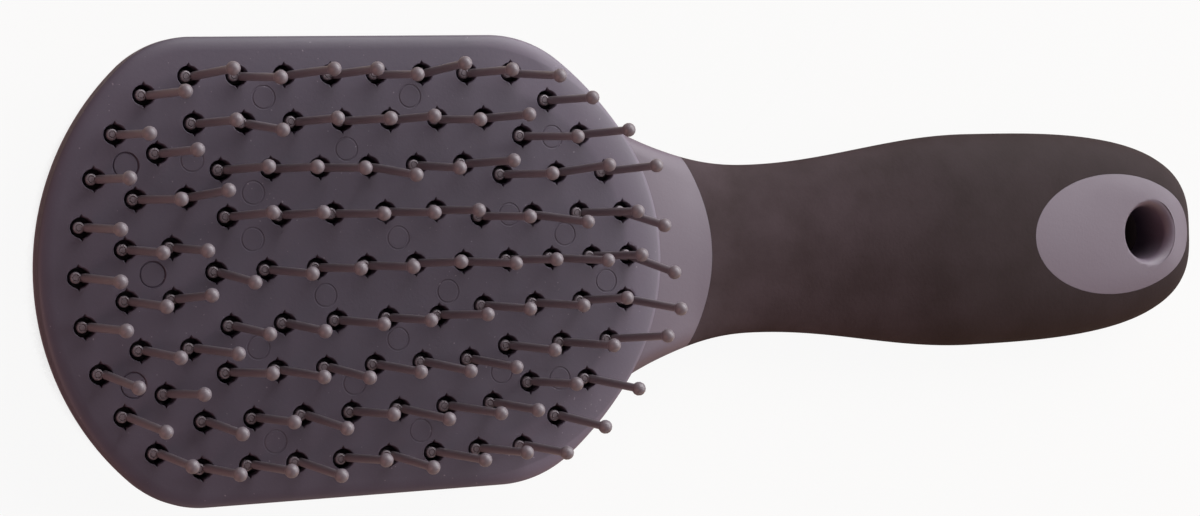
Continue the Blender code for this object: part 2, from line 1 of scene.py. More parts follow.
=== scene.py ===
"""Looks of a mane and tail brush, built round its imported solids.

The brush has a rigid plastic body with a hollow head, a perforated face plate, a soft grip moulded
over the handle, and combs of ball-tipped nylon pins held between the body and the plate. Sizes
are in metres, in the frame of the solids: +X runs from the nose to the end of the handle, and the
brush lies on its back at Z = 0 with its pins up.
"""
import functools
import logging
import math
import random
from dataclasses import dataclass, field
from enum import Enum
from typing import Any, ClassVar, Iterable, Optional, Sequence

import bmesh
import bpy
from mathutils import Matrix, Vector, geometry

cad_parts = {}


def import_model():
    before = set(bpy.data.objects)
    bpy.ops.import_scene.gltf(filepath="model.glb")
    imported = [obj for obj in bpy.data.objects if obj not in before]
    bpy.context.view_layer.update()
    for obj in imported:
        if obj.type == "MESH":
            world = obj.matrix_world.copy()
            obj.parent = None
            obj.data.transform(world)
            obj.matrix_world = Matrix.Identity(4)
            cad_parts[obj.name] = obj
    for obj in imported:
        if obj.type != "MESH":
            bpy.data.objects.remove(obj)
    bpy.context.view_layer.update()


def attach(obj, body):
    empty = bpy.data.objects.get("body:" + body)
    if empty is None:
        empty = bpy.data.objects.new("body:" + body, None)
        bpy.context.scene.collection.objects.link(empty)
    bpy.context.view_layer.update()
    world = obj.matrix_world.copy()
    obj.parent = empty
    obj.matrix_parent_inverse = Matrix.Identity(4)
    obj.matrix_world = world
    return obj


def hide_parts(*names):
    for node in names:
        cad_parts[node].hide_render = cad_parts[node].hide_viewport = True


LOG = logging.getLogger("brush")

BODY = "root"
# Beyond the brush in every direction
FAR = 0.5
# How far a cutter runs past the face that it opens
OVERRUN = 0.0010
# Points closer than this are one
MERGE = 1e-6
SHARP_ANGLE = math.radians(40.0)
RIGHT_ANGLE = math.pi / 2
LEAN_SEED = 5
Point = tuple[float, float]


@dataclass(frozen=True)
class Layout:
    """Sizes that more than one moulding shares."""

    length: float = 0.2521
    head_length: float = 0.1222
    head_width: float = 0.0846
    head_thickness: float = 0.0160
    plate_thickness: float = 0.0030
    seam: float = 0.00004
    shell_wall: float = 0.0022
    grip_wall: float = 0.0018
    hole_to_end: float = 0.0143

    @property
    def nose_x(self) -> float:
        """X of the nose's tip."""
        return -self.length / 2

    @property
    def end_x(self) -> float:
        """X of the handle's end."""
        return self.length / 2

    @property
    def ridge_x(self) -> float:
        """X of the plate's edge above the collar."""
        return self.nose_x + self.head_length

    @property
    def plate_under(self) -> float:
        """Height of the plate's underside."""
        return self.head_thickness - self.plate_thickness

    @property
    def parting(self) -> float:
        """Height of the middle of the seam between the body and the plate."""
        return self.plate_under - self.seam / 2


LAYOUT = Layout()


def srgb(code: str) -> tuple[float, float, float, float]:
    """Turn an sRGB hex colour into linear RGBA.

    Args:
        code: Colour such as "#7f7880".

    Returns:
        Linear red, green, blue and an alpha of 1.
    """
    parts = [int(code[i:i + 2], 16) / 255 for i in (1, 3, 5)]
    linear = [c / 12.92 if c <= 0.04045 else ((c + 0.055) / 1.055) ** 2.4 for c in parts]
    return (*linear, 1.0)


def add_node(tree: bpy.types.NodeTree, kind: str, inputs: Optional[dict[Any, Any]] = None,
             **settings: Any) -> bpy.types.Node:
    """Add one node with its settings, values and links.

    Args:
        tree: Node tree that gets the node.
        kind: Blender's type name of the node.
        inputs: Socket name or number to a value, or to an output socket to link from.
        **settings: Properties of the node itself.

    Returns:
        The new node.
    """
    node = tree.nodes.new(kind)
    for name, value in settings.items():
        setattr(node, name, value)
    for name, value in (inputs or {}).items():
        if isinstance(value, bpy.types.NodeSocket):
            tree.links.new(value, node.inputs[name])
        else:
            node.inputs[name].default_value = value
    return node


# Mesh helpers


def link(name: str, data: bpy.types.ID) -> bpy.types.Object:
    """Make an object of a mesh, a camera or a light, and link it.

    Args:
        name: Name of the object.
        data: What it shows.

    Returns:
        The linked object.
    """
    obj = bpy.data.objects.new(name, data)
    bpy.context.scene.collection.objects.link(obj)
    return obj


def add_object(name: str, bm: bmesh.types.BMesh) -> bpy.types.Object:
    """Make an object of a bmesh, at the origin, and free the bmesh.

    Args:
        name: Name of the object and its mesh.
        bm: Shape, in its final place.

    Returns:
        The linked object.
    """
    mesh = bpy.data.meshes.new(name)
    bm.to_mesh(mesh)
    bm.free()
    return link(name, mesh)


def combine(target: bpy.types.Object, operation: str, *tools: bpy.types.Object) -> bpy.types.Object:
    """Apply one exact Boolean per tool to the target, and remove the tools.

    Args:
        target: Object that is changed.
        operation: UNION, DIFFERENCE or INTERSECT.
        *tools: Closed objects to combine with it.

    Returns:
        The target.
    """
    for tool in tools:
        modifier = target.modifiers.new(operation.lower(), "BOOLEAN")
        modifier.operation = operation
        modifier.solver = "EXACT"
        modifier.object = tool
    depsgraph = bpy.context.evaluated_depsgraph_get()
    mesh = bpy.data.meshes.new_from_object(target.evaluated_get(depsgraph))
    target.modifiers.clear()
    target.data = mesh
    for tool in tools:
        bpy.data.objects.remove(tool, do_unlink=True)
    return target


def tidy_mesh(obj: bpy.types.Object) -> None:
    """Merge doubled points and drop faces of no area.

    Args:
        obj: Object whose mesh is cleaned.
    """
    bm = bmesh.new()
    bm.from_mesh(obj.data)
    bmesh.ops.remove_doubles(bm, verts=bm.verts, dist=2 * MERGE)
    bmesh.ops.dissolve_degenerate(bm, dist=MERGE / 5, edges=bm.edges)
    bm.to_mesh(obj.data)
    bm.free()


def shade(obj: bpy.types.Object) -> None:
    """Shade smooth, keep steep edges sharp, and keep flat faces flat.

    Args:
        obj: Object that is shaded.
    """
    obj.data.shade_smooth()
    obj.data.set_sharp_from_angle(angle=SHARP_ANGLE)
    weighted = obj.modifiers.new("weighted_normals", "WEIGHTED_NORMAL")
    weighted.mode = "FACE_AREA"
    weighted.keep_sharp = True


def prism(name: str, bottom: float, top: float, *outlines: Iterable[Point]) -> bpy.types.Object:
    """Make upright prisms between two heights.

    Args:
        name: Name of the object.
        bottom: Lower height.
        top: Upper height.
        *outlines: Corners of each prism, in order.

    Returns:
        The prisms, as one object.
    """
    bm = bmesh.new()
    for outline in outlines:
        face = bm.faces.new([bm.verts.new((x, y, bottom)) for x, y in outline])
        grown = bmesh.ops.extrude_face_region(bm, geom=[face])["geom"]
        verts = [item for item in grown if isinstance(item, bmesh.types.BMVert)]
        bmesh.ops.translate(bm, verts=verts, vec=(0.0, 0.0, top - bottom))
    bmesh.ops.recalc_face_normals(bm, faces=bm.faces)
    return add_object(name, bm)


def slab(name: str, bottom: float, top: float) -> bpy.types.Object:
    """Make a block of everything between two heights."""
    return prism(name, bottom, top, [(-FAR, -FAR), (FAR, -FAR), (FAR, FAR), (-FAR, FAR)])


def spun(profile: Sequence[Point], sides: int) -> bmesh.types.BMesh:
    """Turn a profile round the Z axis.

    Args:
        profile: Points of (radius, height), on the axis at both ends or closed as a ring.
        sides: Number of steps round the axis.

    Returns:
        The closed shape.
    """
    bm = bmesh.new()
    verts = [bm.verts.new((radius, 0.0, height)) for radius, height in profile]
    edges = [bm.edges.new(pair) for pair in zip(verts, verts[1:])]
    if profile[0][0] > 0.0:
        edges.append(bm.edges.new((verts[-1], verts[0])))
    bmesh.ops.spin(bm, geom=verts + edges, cent=(0.0, 0.0, 0.0), axis=(0.0, 0.0, 1.0),
                   dvec=(0.0, 0.0, 0.0), angle=2 * math.pi, steps=sides, use_merge=True)
    bmesh.ops.remove_doubles(bm, verts=bm.verts, dist=MERGE / 10)
    bmesh.ops.recalc_face_normals(bm, faces=bm.faces)
    return bm


def scatter(name: str, template: bmesh.types.BMesh, matrices: Iterable[Matrix]) -> bpy.types.Object:
    """Join copies of a shape into one object, and free the shape.

    Args:
        name: Name of the object.
        template: Shape to copy.
        matrices: Place of each copy.

    Returns:
        The joined copies.
    """
    mesh = bpy.data.meshes.new(name)
    template.to_mesh(mesh)
    template.free()
    bm = bmesh.new()
    for matrix in matrices:
        start = len(bm.verts)
        bm.from_mesh(mesh)
        bm.verts.ensure_lookup_table()
        bmesh.ops.transform(bm, matrix=matrix, verts=bm.verts[start:])
    bpy.data.meshes.remove(mesh)
    return add_object(name, bm)


def arc(center: Point, radius: float, start: float, end: float, steps: int) -> list[Point]:
    """List the points of a circular arc, its first point left out.

    Args:
        center: Centre of the arc.
        radius: Its radius.
        start: First angle in radians.
        end: Last angle in radians.
        steps: Number of points.

    Returns:
        The points in order.
    """
    angles = [start + (end - start) * i / steps for i in range(1, steps + 1)]
    return [(center[0] + radius * math.cos(a), center[1] + radius * math.sin(a)) for a in angles]


# Rounded forms


@dataclass(frozen=True)
class Curve:
    """A size that eases along X from one (x, value) station to the next."""

    stations: tuple[Point, ...]

    def at(self, x: float) -> float:
        """Read the size at one place.

        Args:
            x: Place along the brush.

        Returns:
            The eased value there.
        """
        for (x0, v0), (x1, v1) in zip(self.stations, self.stations[1:]):
            if x <= x1:
                share = max(0.0, (x - x0) / (x1 - x0))
                return v0 + (v1 - v0) * (1 - math.cos(math.pi * share)) / 2
        return self.stations[-1][1]

    @staticmethod
    def level(value: float) -> "Curve":
        """Make a curve that keeps one value."""
        return Curve(((-FAR, value), (FAR, value)))


@dataclass
class RoundedForm:
    """A rounded solid over half an outline.

    Face and back are heights, side is the height of the widest line, and wall is how far the side
    runs straight down from there. The rolls are how far the edges curve in, and the crown lifts
    the middle above them, at the side never more steeply than steepest_crown of what would bring
    it level with the roll. An inset never leaves less than least_roll.
    """

    outline: list[Point]
    face: Curve
    back: Curve
    side: Curve
    wall: Curve
    face_roll: Curve
    back_roll: Curve
    crown: Curve
    roll_steps: int = 12
    crown_steps: int = 1
    least_roll: float = 0.0003
    steepest_crown: float = 0.35

    def inward(self, index: int) -> Vector:
        """Find the way into the form from one point of its outline.

        Args:
            index: Number of the outline point.

        Returns:
            Unit vector that points into the form.
        """
        if self.outline[index][1] == 0.0:
            return Vector((1.0 if index == 0 else -1.0, 0.0))
        if index == 0:
            return Vector((0.0, -1.0))
        first = 0 if self.outline[0][1] == 0.0 else 1
        tangent = Vector(self.outline[index + 1]) - Vector(self.outline[max(index - 1, first)])
        tangent.normalize()
        return Vector((tangent.y, -tangent.x))

    def half_section(self, index: int, inset: float, upper: bool) -> list[tuple[float, float, float]]:
        """Trace the section from the widest line to the middle of the face or the back.

        Args:
            index: Outline point that the section starts from.
            inset: How far the surface is moved inwards.
            upper: True for the face, False for the back.

        Returns:
            Points in order, from the side to the middle.
        """
        point = Vector(self.outline[index])
        normal = self.inward(index)
        sign = 1.0 if upper else -1.0
        heights = self.face if upper else self.back
        rolls = self.face_roll if upper else self.back_roll
        side = self.side.at(point.x) - (0.0 if upper else self.wall.at(point.x))
        roll = max(rolls.at(point.x), inset + self.least_roll)
        inner = point + normal * roll
        limit = heights.at(inner.x) - sign * inset
        rise = abs(limit - side)
        rest = max(inner.y, 0.0)
        crown = self.crown.at(point.x)
        crown = min(crown, self.steepest_crown * rest * (rise - crown) / (2 * (roll - inset)))
        slope = 2 * crown * (roll - inset) / (rest * (rise - crown)) if rest > MERGE else 0.0
        last = math.acos(slope / (1 - slope))
        points = []
        for step in range(self.roll_steps + 1):
            angle = last * step / self.roll_steps
            reach = (1 - math.cos(angle)) / (1 - math.cos(last))
            spot = point + normal * (inset + (roll - inset) * reach)
            height = side + sign * (rise - crown) * math.sin(angle) / math.sin(last)
            points.append((spot.x, max(spot.y, 0.0), height))
        start_y = points[-1][1]
        for step in range(1, self.crown_steps + 1):
            share = step / self.crown_steps
            points.append((inner.x, start_y * (1 - share), limit - sign * crown * (1 - share) ** 2))
        return points

    def solid(self, name: str, inset: float = 0.0) -> bpy.types.Object:
        """Make the form as a closed solid.

        Args:
            name: Name of the object.
            inset: How far the surface is moved inwards.

        Returns:
            The solid.
        """
        bm = bmesh.new()
        chains = []
        for index in range(len(self.outline)):
            face, back = (self.half_section(index, inset, upper) for upper in (True, False))
            ring = face[::-1] + back
            verts = [bm.verts.new(co) for co in ring]
            chains.append([bm.edges.new(pair) for pair in zip(verts, verts[1:])])
        for first, second in zip(chains, chains[1:]):
            bmesh.ops.bridge_loops(bm, edges=first + second)
        bmesh.ops.mirror(bm, geom=bm.verts[:] + bm.edges[:] + bm.faces[:], axis="Y", merge_dist=MERGE)
        bmesh.ops.remove_doubles(bm, verts=bm.verts, dist=MERGE)
        bmesh.ops.dissolve_degenerate(bm, dist=MERGE / 10, edges=bm.edges)
        bmesh.ops.holes_fill(bm, edges=[edge for edge in bm.edges if edge.is_boundary])
        bmesh.ops.recalc_face_normals(bm, faces=bm.faces)
        return add_object(name, bm)

    def column(self, name: str, inset: float, bottom: float, top: float) -> bpy.types.Object:
        """Make an upright solid over the outline.

        Args:
            name: Name of the object.
            inset: How far the outline is moved inwards.
            bottom: Lower height.
            top: Upper height.

        Returns:
            The solid.
        """
        half = [Vector(point) + self.inward(i) * inset for i, point in enumerate(self.outline)]
        full = [(p.x, p.y) for p in half] + [(p.x, -p.y) for p in reversed(half[1:-1])]
        return prism(name, bottom, top, full)


@dataclass
class HeadForm:
    """The head's rounded form: a shallow nose arc, straight sides and a turn in to the collar."""

    nose_radius: float = 0.0508
    corner_radius: float = 0.0192
    shoulder_radius: float = 0.0235
    shoulder_turn: float = math.radians(38.0)
    flank_radius: float = 0.0640
    flank_turn: float = math.radians(55.0)
    face_edge_roll: float = 0.0026
    ridge_roll: float = 0.0072
    flank_length: float = 0.0280
    face_edge_drop: float = 0.0010
    back_edge_roll: float = 0.0170
    # Points on the nose, the corner, the side, the shoulder, the flank and the ridge
    steps: tuple[int, ...] = (30, 24, 8, 18, 12, 24)

    @property
    def ridge_radius(self) -> float:
        """Radius of the ridge's arc, which runs on from the flank.

        Returns:
            The radius.
        """
        turn, last_turn = self.shoulder_turn, self.flank_turn
        shoulder_end_y = LAYOUT.head_width / 2 - self.shoulder_radius * (1 - math.cos(turn))
        flank_y = shoulder_end_y - self.flank_radius * (math.cos(turn) - math.cos(last_turn))
        return flank_y / math.cos(last_turn)

    def outline(self) -> list[Point]:
        """Trace half of the head, from the nose over the side and the flank to the ridge.

        Returns:
            Points in order, on the side where Y is positive.
        """
        half = LAYOUT.head_width / 2
        nose_center = LAYOUT.nose_x + self.nose_radius
        corner_y = half - self.corner_radius
        reach = math.sqrt((self.nose_radius - self.corner_radius) ** 2 - corner_y ** 2)
        corner = (nose_center - reach, corner_y)
        touch = math.pi - math.atan2(corner_y, reach)

        turn, last_turn = self.shoulder_turn, self.flank_turn
        ridge_radius = self.ridge_radius
        flank_y = ridge_radius * math.cos(last_turn)
        flank_x = LAYOUT.ridge_x - ridge_radius * (1 - math.sin(last_turn))
        shoulder_end_x = flank_x - self.flank_radius * (math.sin(last_turn) - math.sin(turn))
        shoulder = (shoulder_end_x - self.shoulder_radius * math.sin(turn), half - self.shoulder_radius)
        flank = (flank_x - self.flank_radius * math.sin(last_turn),
                 flank_y - self.flank_radius * math.cos(last_turn))

        nose, bend, side, round_off, taper, last = self.steps
        points = [(LAYOUT.nose_x, 0.0)]
        points += arc((nose_center, 0.0), self.nose_radius, math.pi, touch, nose)
        points += arc(corner, self.corner_radius, touch, RIGHT_ANGLE, bend)
        straight = shoulder[0] - corner[0]
        points += [(corner[0] + straight * i / side, half) for i in range(1, side + 1)]
        points += arc(shoulder, self.shoulder_radius, RIGHT_ANGLE, RIGHT_ANGLE - turn, round_off)
        points += arc(flank, self.flank_radius, RIGHT_ANGLE - turn, RIGHT_ANGLE - last_turn, taper)
        ridge = (LAYOUT.ridge_x - ridge_radius, 0.0)
        points += arc(ridge, ridge_radius, RIGHT_ANGLE - last_turn, 0.0, last)
        points[-1] = (LAYOUT.ridge_x, 0.0)
        return points

    def form(self) -> RoundedForm:
        """Give the head its heights and its rolled edges.

        Returns:
            The head's rounded form.
        """
        return RoundedForm(
            self.outline(),
            face=Curve.level(LAYOUT.head_thickness),
            back=Curve.level(0.0),
            side=Curve.level(LAYOUT.head_thickness - self.face_edge_drop),
            wall=Curve.level(LAYOUT.head_thickness - self.face_edge_drop - LAYOUT.parting),
            face_roll=Curve(((LAYOUT.ridge_x - self.flank_length, self.face_edge_roll),
                             (LAYOUT.ridge_x - self.ridge_roll, self.ridge_roll))),
            back_roll=Curve.level(self.back_edge_roll),
            crown=Curve.level(0.0),
        )


@dataclass
class HandleForm:
    """The handle's rounded form, from a tang inside the head over the neck to the round end."""

    neck_width: float = 0.0334
    flare_radius: float = 0.0640
    flare_turn: float = math.radians(30.0)
    neck_to_head: float = 0.0225
    tang_length: float = 0.0070
    tang_taper: float = 0.0020
    belly_width: float = 0.0435
    belly_to_end: float = 0.0554
    end_fullness: float = 2.95
    slope_lead: float = 0.0120
    tang_drop: float = 0.00025
    neck_drop: float = 0.0034
    neck_rise: float = 0.0012
    belly_drop: float = 0.0002
    end_drop: float = 0.0020
    end_rise: float = 0.0015
    tang_rise: float = 0.0004
    collar_side_line: float = 0.0045
    side_line: float = 0.0078
    collar_edge_roll: float = 0.0035
    edge_roll: float = 0.0115
    crown: float = 0.0008
    # Points on the flare, from the neck to the belly, and from there to the end
    steps: tuple[int, int, int] = (30, 40, 48)

    @property
    def neck_x(self) -> float:
        """X of the narrowest place."""
        return LAYOUT.ridge_x + self.neck_to_head

    @property
    def belly_x(self) -> float:
        """X of the widest place."""
        return LAYOUT.end_x - self.belly_to_end

    def outline(self) -> list[Point]:
        """Trace half of the tang, the flared neck and the handle to its end.

        Returns:
            Points in order, on the side where Y is positive.
        """
        neck_y = self.neck_width / 2
        belly_y = self.belly_width / 2
        flare_steps, neck_steps, end_steps = self.steps
        center = (self.neck_x, neck_y + self.flare_radius)
        start = -RIGHT_ANGLE - self.flare_turn
        flare = (center[0] + self.flare_radius * math.cos(start),
                 center[1] + self.flare_radius * math.sin(start))
        points = [(flare[0] - self.tang_length, flare[1] - self.tang_taper), flare]
        points += arc(center, self.flare_radius, start, -RIGHT_ANGLE, flare_steps)
        widths = Curve(((self.neck_x, neck_y), (self.belly_x, belly_y)))
        for i in range(1, neck_steps + 1):
            x = self.neck_x + (self.belly_x - self.neck_x) * i / neck_steps
            points.append((x, widths.at(x)))
        power = 2 / self.end_fullness
        for i in range(1, end_steps):
            angle = RIGHT_ANGLE * i / end_steps
            points.append((self.belly_x + self.belly_to_end * math.sin(angle) ** power,
                           belly_y * math.cos(angle) ** power))
        return points + [(LAYOUT.end_x, 0.0)]

    def form(self) -> RoundedForm:
        """Give the handle its heights, its rolled edges and its crown.

        Returns:
            The handle's rounded form.
        """
        top = LAYOUT.head_thickness
        ridge, neck, belly, end = LAYOUT.ridge_x, self.neck_x, self.belly_x, LAYOUT.end_x
        return RoundedForm(
            self.outline(),
            face=Curve(((ridge - self.slope_lead, top - self.tang_drop), (neck, top - self.neck_drop),
                        (belly, top - self.belly_drop), (end, top - self.end_drop))),
            back=Curve(((ridge, self.tang_rise), (neck, self.neck_rise), (belly, 0.0),
                        (end, self.end_rise))),
            side=Curve(((ridge, top - self.collar_side_line), (neck, top - self.side_line),
                        (end, top - self.side_line))),
            wall=Curve.level(0.0),
            face_roll=Curve(((ridge, self.collar_edge_roll), (neck, self.edge_roll),
                             (end, self.edge_roll))),
            back_roll=Curve.level(self.edge_roll),
            crown=Curve(((belly, self.crown), (end, 0.0))),
            crown_steps=8,
        )


# Finishes


def lay(tree: bpy.types.NodeTree, base: Any, *layers: tuple[Any, Any]) -> bpy.types.NodeSocket:
    """Lay tones over a base.

    Args:
        tree: Node tree of the material.
        base: Lowest tone, as sRGB hex or an output socket.
        *layers: Share and tone of each layer above it.

    Returns:
        The layered tone.
    """
    for share, tone in layers:
        under, over = (srgb(item) if isinstance(item, str) else item for item in (base, tone))
        base = add_node(tree, "ShaderNodeMix", {0: share, 6: under, 7: over},
                        data_type="RGBA").outputs[2]
    return base


@dataclass(frozen=True)
class PaintedHighlightArc:
    """A painted highlight on a rim: a paler band inside an arc of it, palest on the edge itself."""

    center: Point
    radius: float
    start_x: float
    tone: str = "#6e6373"
    band: float = 0.0084
    band_fade: float = 0.0012
    band_share: float = 0.42
    edge: float = 0.0010
    fade_in: float = 0.0120

    def over(self, tree: bpy.types.NodeTree, place: bpy.types.NodeSocket,
             tone: bpy.types.NodeSocket) -> bpy.types.NodeSocket:
        """Lay the painted highlight over a tone.

        Args:
            tree: Node tree of the material.
            place: Object coordinates.
            tone: Tone below the band.

        Returns:
            The tone with the band.
        """
        out = add_node(tree, "ShaderNodeVectorMath",
                       {0: place, 1: (*self.center, LAYOUT.head_thickness)},
                       operation="DISTANCE").outputs["Value"]
        along = add_node(tree, "ShaderNodeSeparateXYZ", {0: place}).outputs["X"]
        ramps = ((out, self.radius - self.band, self.band_fade, self.band_share),
                 (out, self.radius - self.edge, self.edge / 2, 1.0),
                 (along, self.start_x, self.fade_in, 1.0))
        band, edge, behind = (
            add_node(tree, "ShaderNodeMapRange", {"Value": value, "From Min": start,
                                                  "From Max": start + fade, "To Max": most}).outputs[0]
            for value, start, fade, most in ramps)
        share = add_node(tree, "ShaderNodeMath", {0: band, 1: edge}, operation="MAXIMUM").outputs[0]
        share = add_node(tree, "ShaderNodeMath", {0: share, 1: behind}, operation="MULTIPLY").outputs[0]
        # Painted highlight: a paler band inside the ridge, palest on its edge, fading in from start_x.
        return lay(tree, tone, (share, self.tone))


@dataclass(frozen=True)
class Finish:
    """A material with a fine grain all over, whose kind gives its tone and its gloss.

    The real grain is some hundredths of a millimetre, and is drawn coarser so that it shows.
    """

    name: str
    grain: float
    grain_depth: float
    grain_contrast: ClassVar[float] = 0.55

    def paint(self, tree: bpy.types.NodeTree, shader: bpy.types.Node,
              place: bpy.types.NodeSocket) -> bpy.types.NodeSocket:
        """Set the gloss and build the tone, as each kind of finish does."""
        raise NotImplementedError

    @functools.cache
    def material(self) -> bpy.types.Material:
        """Build the node material, once.

        Returns:
            The material, the same one at every call.
        """
        mat = bpy.data.materials.new(self.name)
        mat.use_nodes = True
        tree = mat.node_tree
        shader = tree.nodes["Principled BSDF"]
        place = add_node(tree, "ShaderNodeTexCoord").outputs["Object"]
        grain = add_node(tree, "ShaderNodeTexNoise",
                         {"Vector": place, "Scale": 1 / self.grain, "Detail": 2.0,
                          "Roughness": self.grain_contrast})
        bump = add_node(tree, "ShaderNodeBump",
                        {"Height": grain.outputs["Fac"], "Distance": self.grain_depth, "Strength": 1.0})
        tree.links.new(self.paint(tree, shader, place), shader.inputs["Base Color"])
        tree.links.new(bump.outputs["Normal"], shader.inputs["Normal"])
        return mat


@dataclass(frozen=True)
class MouldedPlastic(Finish):
    """A moulded plastic with a fine matt texture from a spark-eroded mould.

    The texture scatters the highlight into a broad soft sheen. Faint flow marks change the tone
    a little over centimetres, and handling leaves slightly glossier patches. Where it is scuffed,
    pale specks under a millimetre wide come together in places.
    """

    tone: str
    flow_tone: str
    roughness: float
    gloss_patch: float
    painted_highlight: Optional[PaintedHighlightArc] = None
    scuff: float = 0.0
    scuff_tone: str = "#a89ba6"
    scuff_size: float = 0.0007
    scuff_gather: float = 0.22
    scuff_from: float = 0.86
    scuff_to: float = 0.92
    flow_size: float = 0.018
    patch_from: float = 0.35
    patch_to: float = 0.7
    ior: float = 1.53

    def paint(self, tree: bpy.types.NodeTree, shader: bpy.types.Node,
              place: bpy.types.NodeSocket) -> bpy.types.NodeSocket:
        """Set the gloss, and lay flow marks, a painted highlight band and scuffs over the tone.

        Args:
            tree: Node tree of the material.
            shader: Its shader node.
            place: Object coordinates.

        Returns:
            The tone.
        """
        flow = add_node(tree, "ShaderNodeTexNoise",
                        {"Vector": place, "Scale": 1 / self.flow_size, "Detail": 4.0,
                         "Roughness": 0.6}).outputs["Fac"]
        gloss = add_node(tree, "ShaderNodeMapRange",
                         {"Value": flow, "From Min": self.patch_from, "From Max": self.patch_to,
                          "To Min": self.roughness, "To Max": self.roughness - self.gloss_patch})
        tree.links.new(gloss.outputs[0], shader.inputs["Roughness"])
        shader.inputs["IOR"].default_value = self.ior
        tone = lay(tree, self.tone, (flow, self.flow_tone))
        if self.painted_highlight is not None:
            tone = self.painted_highlight.over(tree, place, tone)
        if not self.scuff:
            return tone
        specks = add_node(tree, "ShaderNodeTexNoise",
                          {"Vector": place, "Scale": 1 / self.scuff_size, "Detail": 1.0,
                           "Roughness": 0.5})
        gathered = add_node(tree, "ShaderNodeMath",
                            {0: flow, 1: self.scuff_gather, 2: specks.outputs["Fac"]},
                            operation="MULTIPLY_ADD")
        scuffs = add_node(tree, "ShaderNodeMapRange",
                          {"Value": gathered.outputs[0], "From Min": self.scuff_from,
                           "From Max": self.scuff_to, "To Max": self.scuff})
        return lay(tree, tone, (scuffs.outputs[0], self.scuff_tone))


@dataclass(frozen=True)
class SoftGrip(Finish):
    """A thermoplastic rubber, moulded over the handle.

    Its micro-rough skin has no clear highlight, only a faint sheen towards grazing light. Its
    tone is mottled over millimetres, and darker from the belly on as painted shade.
    """

    name: str = "thermoplastic_rubber_moulded"
    grain: float = 0.0007
    grain_depth: float = 0.00003
    grain_contrast: ClassVar[float] = 0.5
    tone: str = "#35272a"
    rubbed_tone: str = "#43353a"
    endward_shade_tone: str = "#1d1010"
    endward_shade_from: float = 0.018
    endward_shade_to: float = 0.080
    endward_shade_share: float = 0.62
    roughness: float = 0.72
    specular: float = 0.22
    patch_size: float = 0.011
    patch_from: float = 0.33
    patch_to: float = 0.67

    def paint(self, tree: bpy.types.NodeTree, shader: bpy.types.Node,
              place: bpy.types.NodeSocket) -> bpy.types.NodeSocket:
        """Set the gloss, and lay the mottling and the painted shade towards the end over the tone.

        Args:
            tree: Node tree of the material.
            shader: Its shader node.
            place: Object coordinates.

        Returns:
            The tone.
        """
        shader.inputs["Roughness"].default_value = self.roughness
        shader.inputs["Specular IOR Level"].default_value = self.specular
        patch = add_node(tree, "ShaderNodeTexNoise",
                         {"Vector": place, "Scale": 1 / self.patch_size, "Detail": 5.0,
                          "Roughness": 0.62})
        patch = add_node(tree, "ShaderNodeMapRange",
                         {"Value": patch.outputs["Fac"], "From Min": self.patch_from,
                          "From Max": self.patch_to})
        # Painted shade: the tone darkens along X towards the handle's end.
        along = add_node(tree, "ShaderNodeSeparateXYZ", {0: place}).outputs["X"]
        endward_shade = add_node(tree, "ShaderNodeMapRange",
                        {"Value": along, "From Min": self.endward_shade_from, "From Max": self.endward_shade_to,
                         "To Max": self.endward_shade_share}, interpolation_type="SMOOTHSTEP")
        return lay(tree, self.tone, (patch.outputs[0], self.rubbed_tone),
                   (endward_shade.outputs[0], self.endward_shade_tone))


# ABS as it leaves a matt mould, with a soft broad sheen
BODY_PLASTIC = MouldedPlastic("abs_body_moulded_matt", 0.0006, 0.00002, "#675a67", "#6b5f6c",
                              roughness=0.52, gloss_patch=0.05)
# The same plastic, its tone painted darker as shade, scuffed by use, and with a painted highlight along
# its ridge
PLATE_PLASTIC = MouldedPlastic("abs_plate_moulded_matt", 0.0006, 0.00002, "#514857", "#59505e",
                               roughness=0.50, gloss_patch=0.05, scuff=0.5,
                               painted_highlight=PaintedHighlightArc((LAYOUT.ridge_x - HeadForm().ridge_radius, 0.0),
                                                HeadForm().ridge_radius, LAYOUT.ridge_x - 0.040))
# Nylon from a smoother mould, so that each ball has a small soft highlight
PIN_NYLON = MouldedPlastic("nylon_pins_moulded", 0.0005, 0.00001, "#746b72", "#7b7279",
                           roughness=0.42, gloss_patch=0.04)
GRIP_RUBBER = SoftGrip()


# Sub-assemblies


class Label(Enum):
    """Side of the brush that a comb lies on, with the sign of its Y."""

    LEFT = 1.0
    RIGHT = -1.0


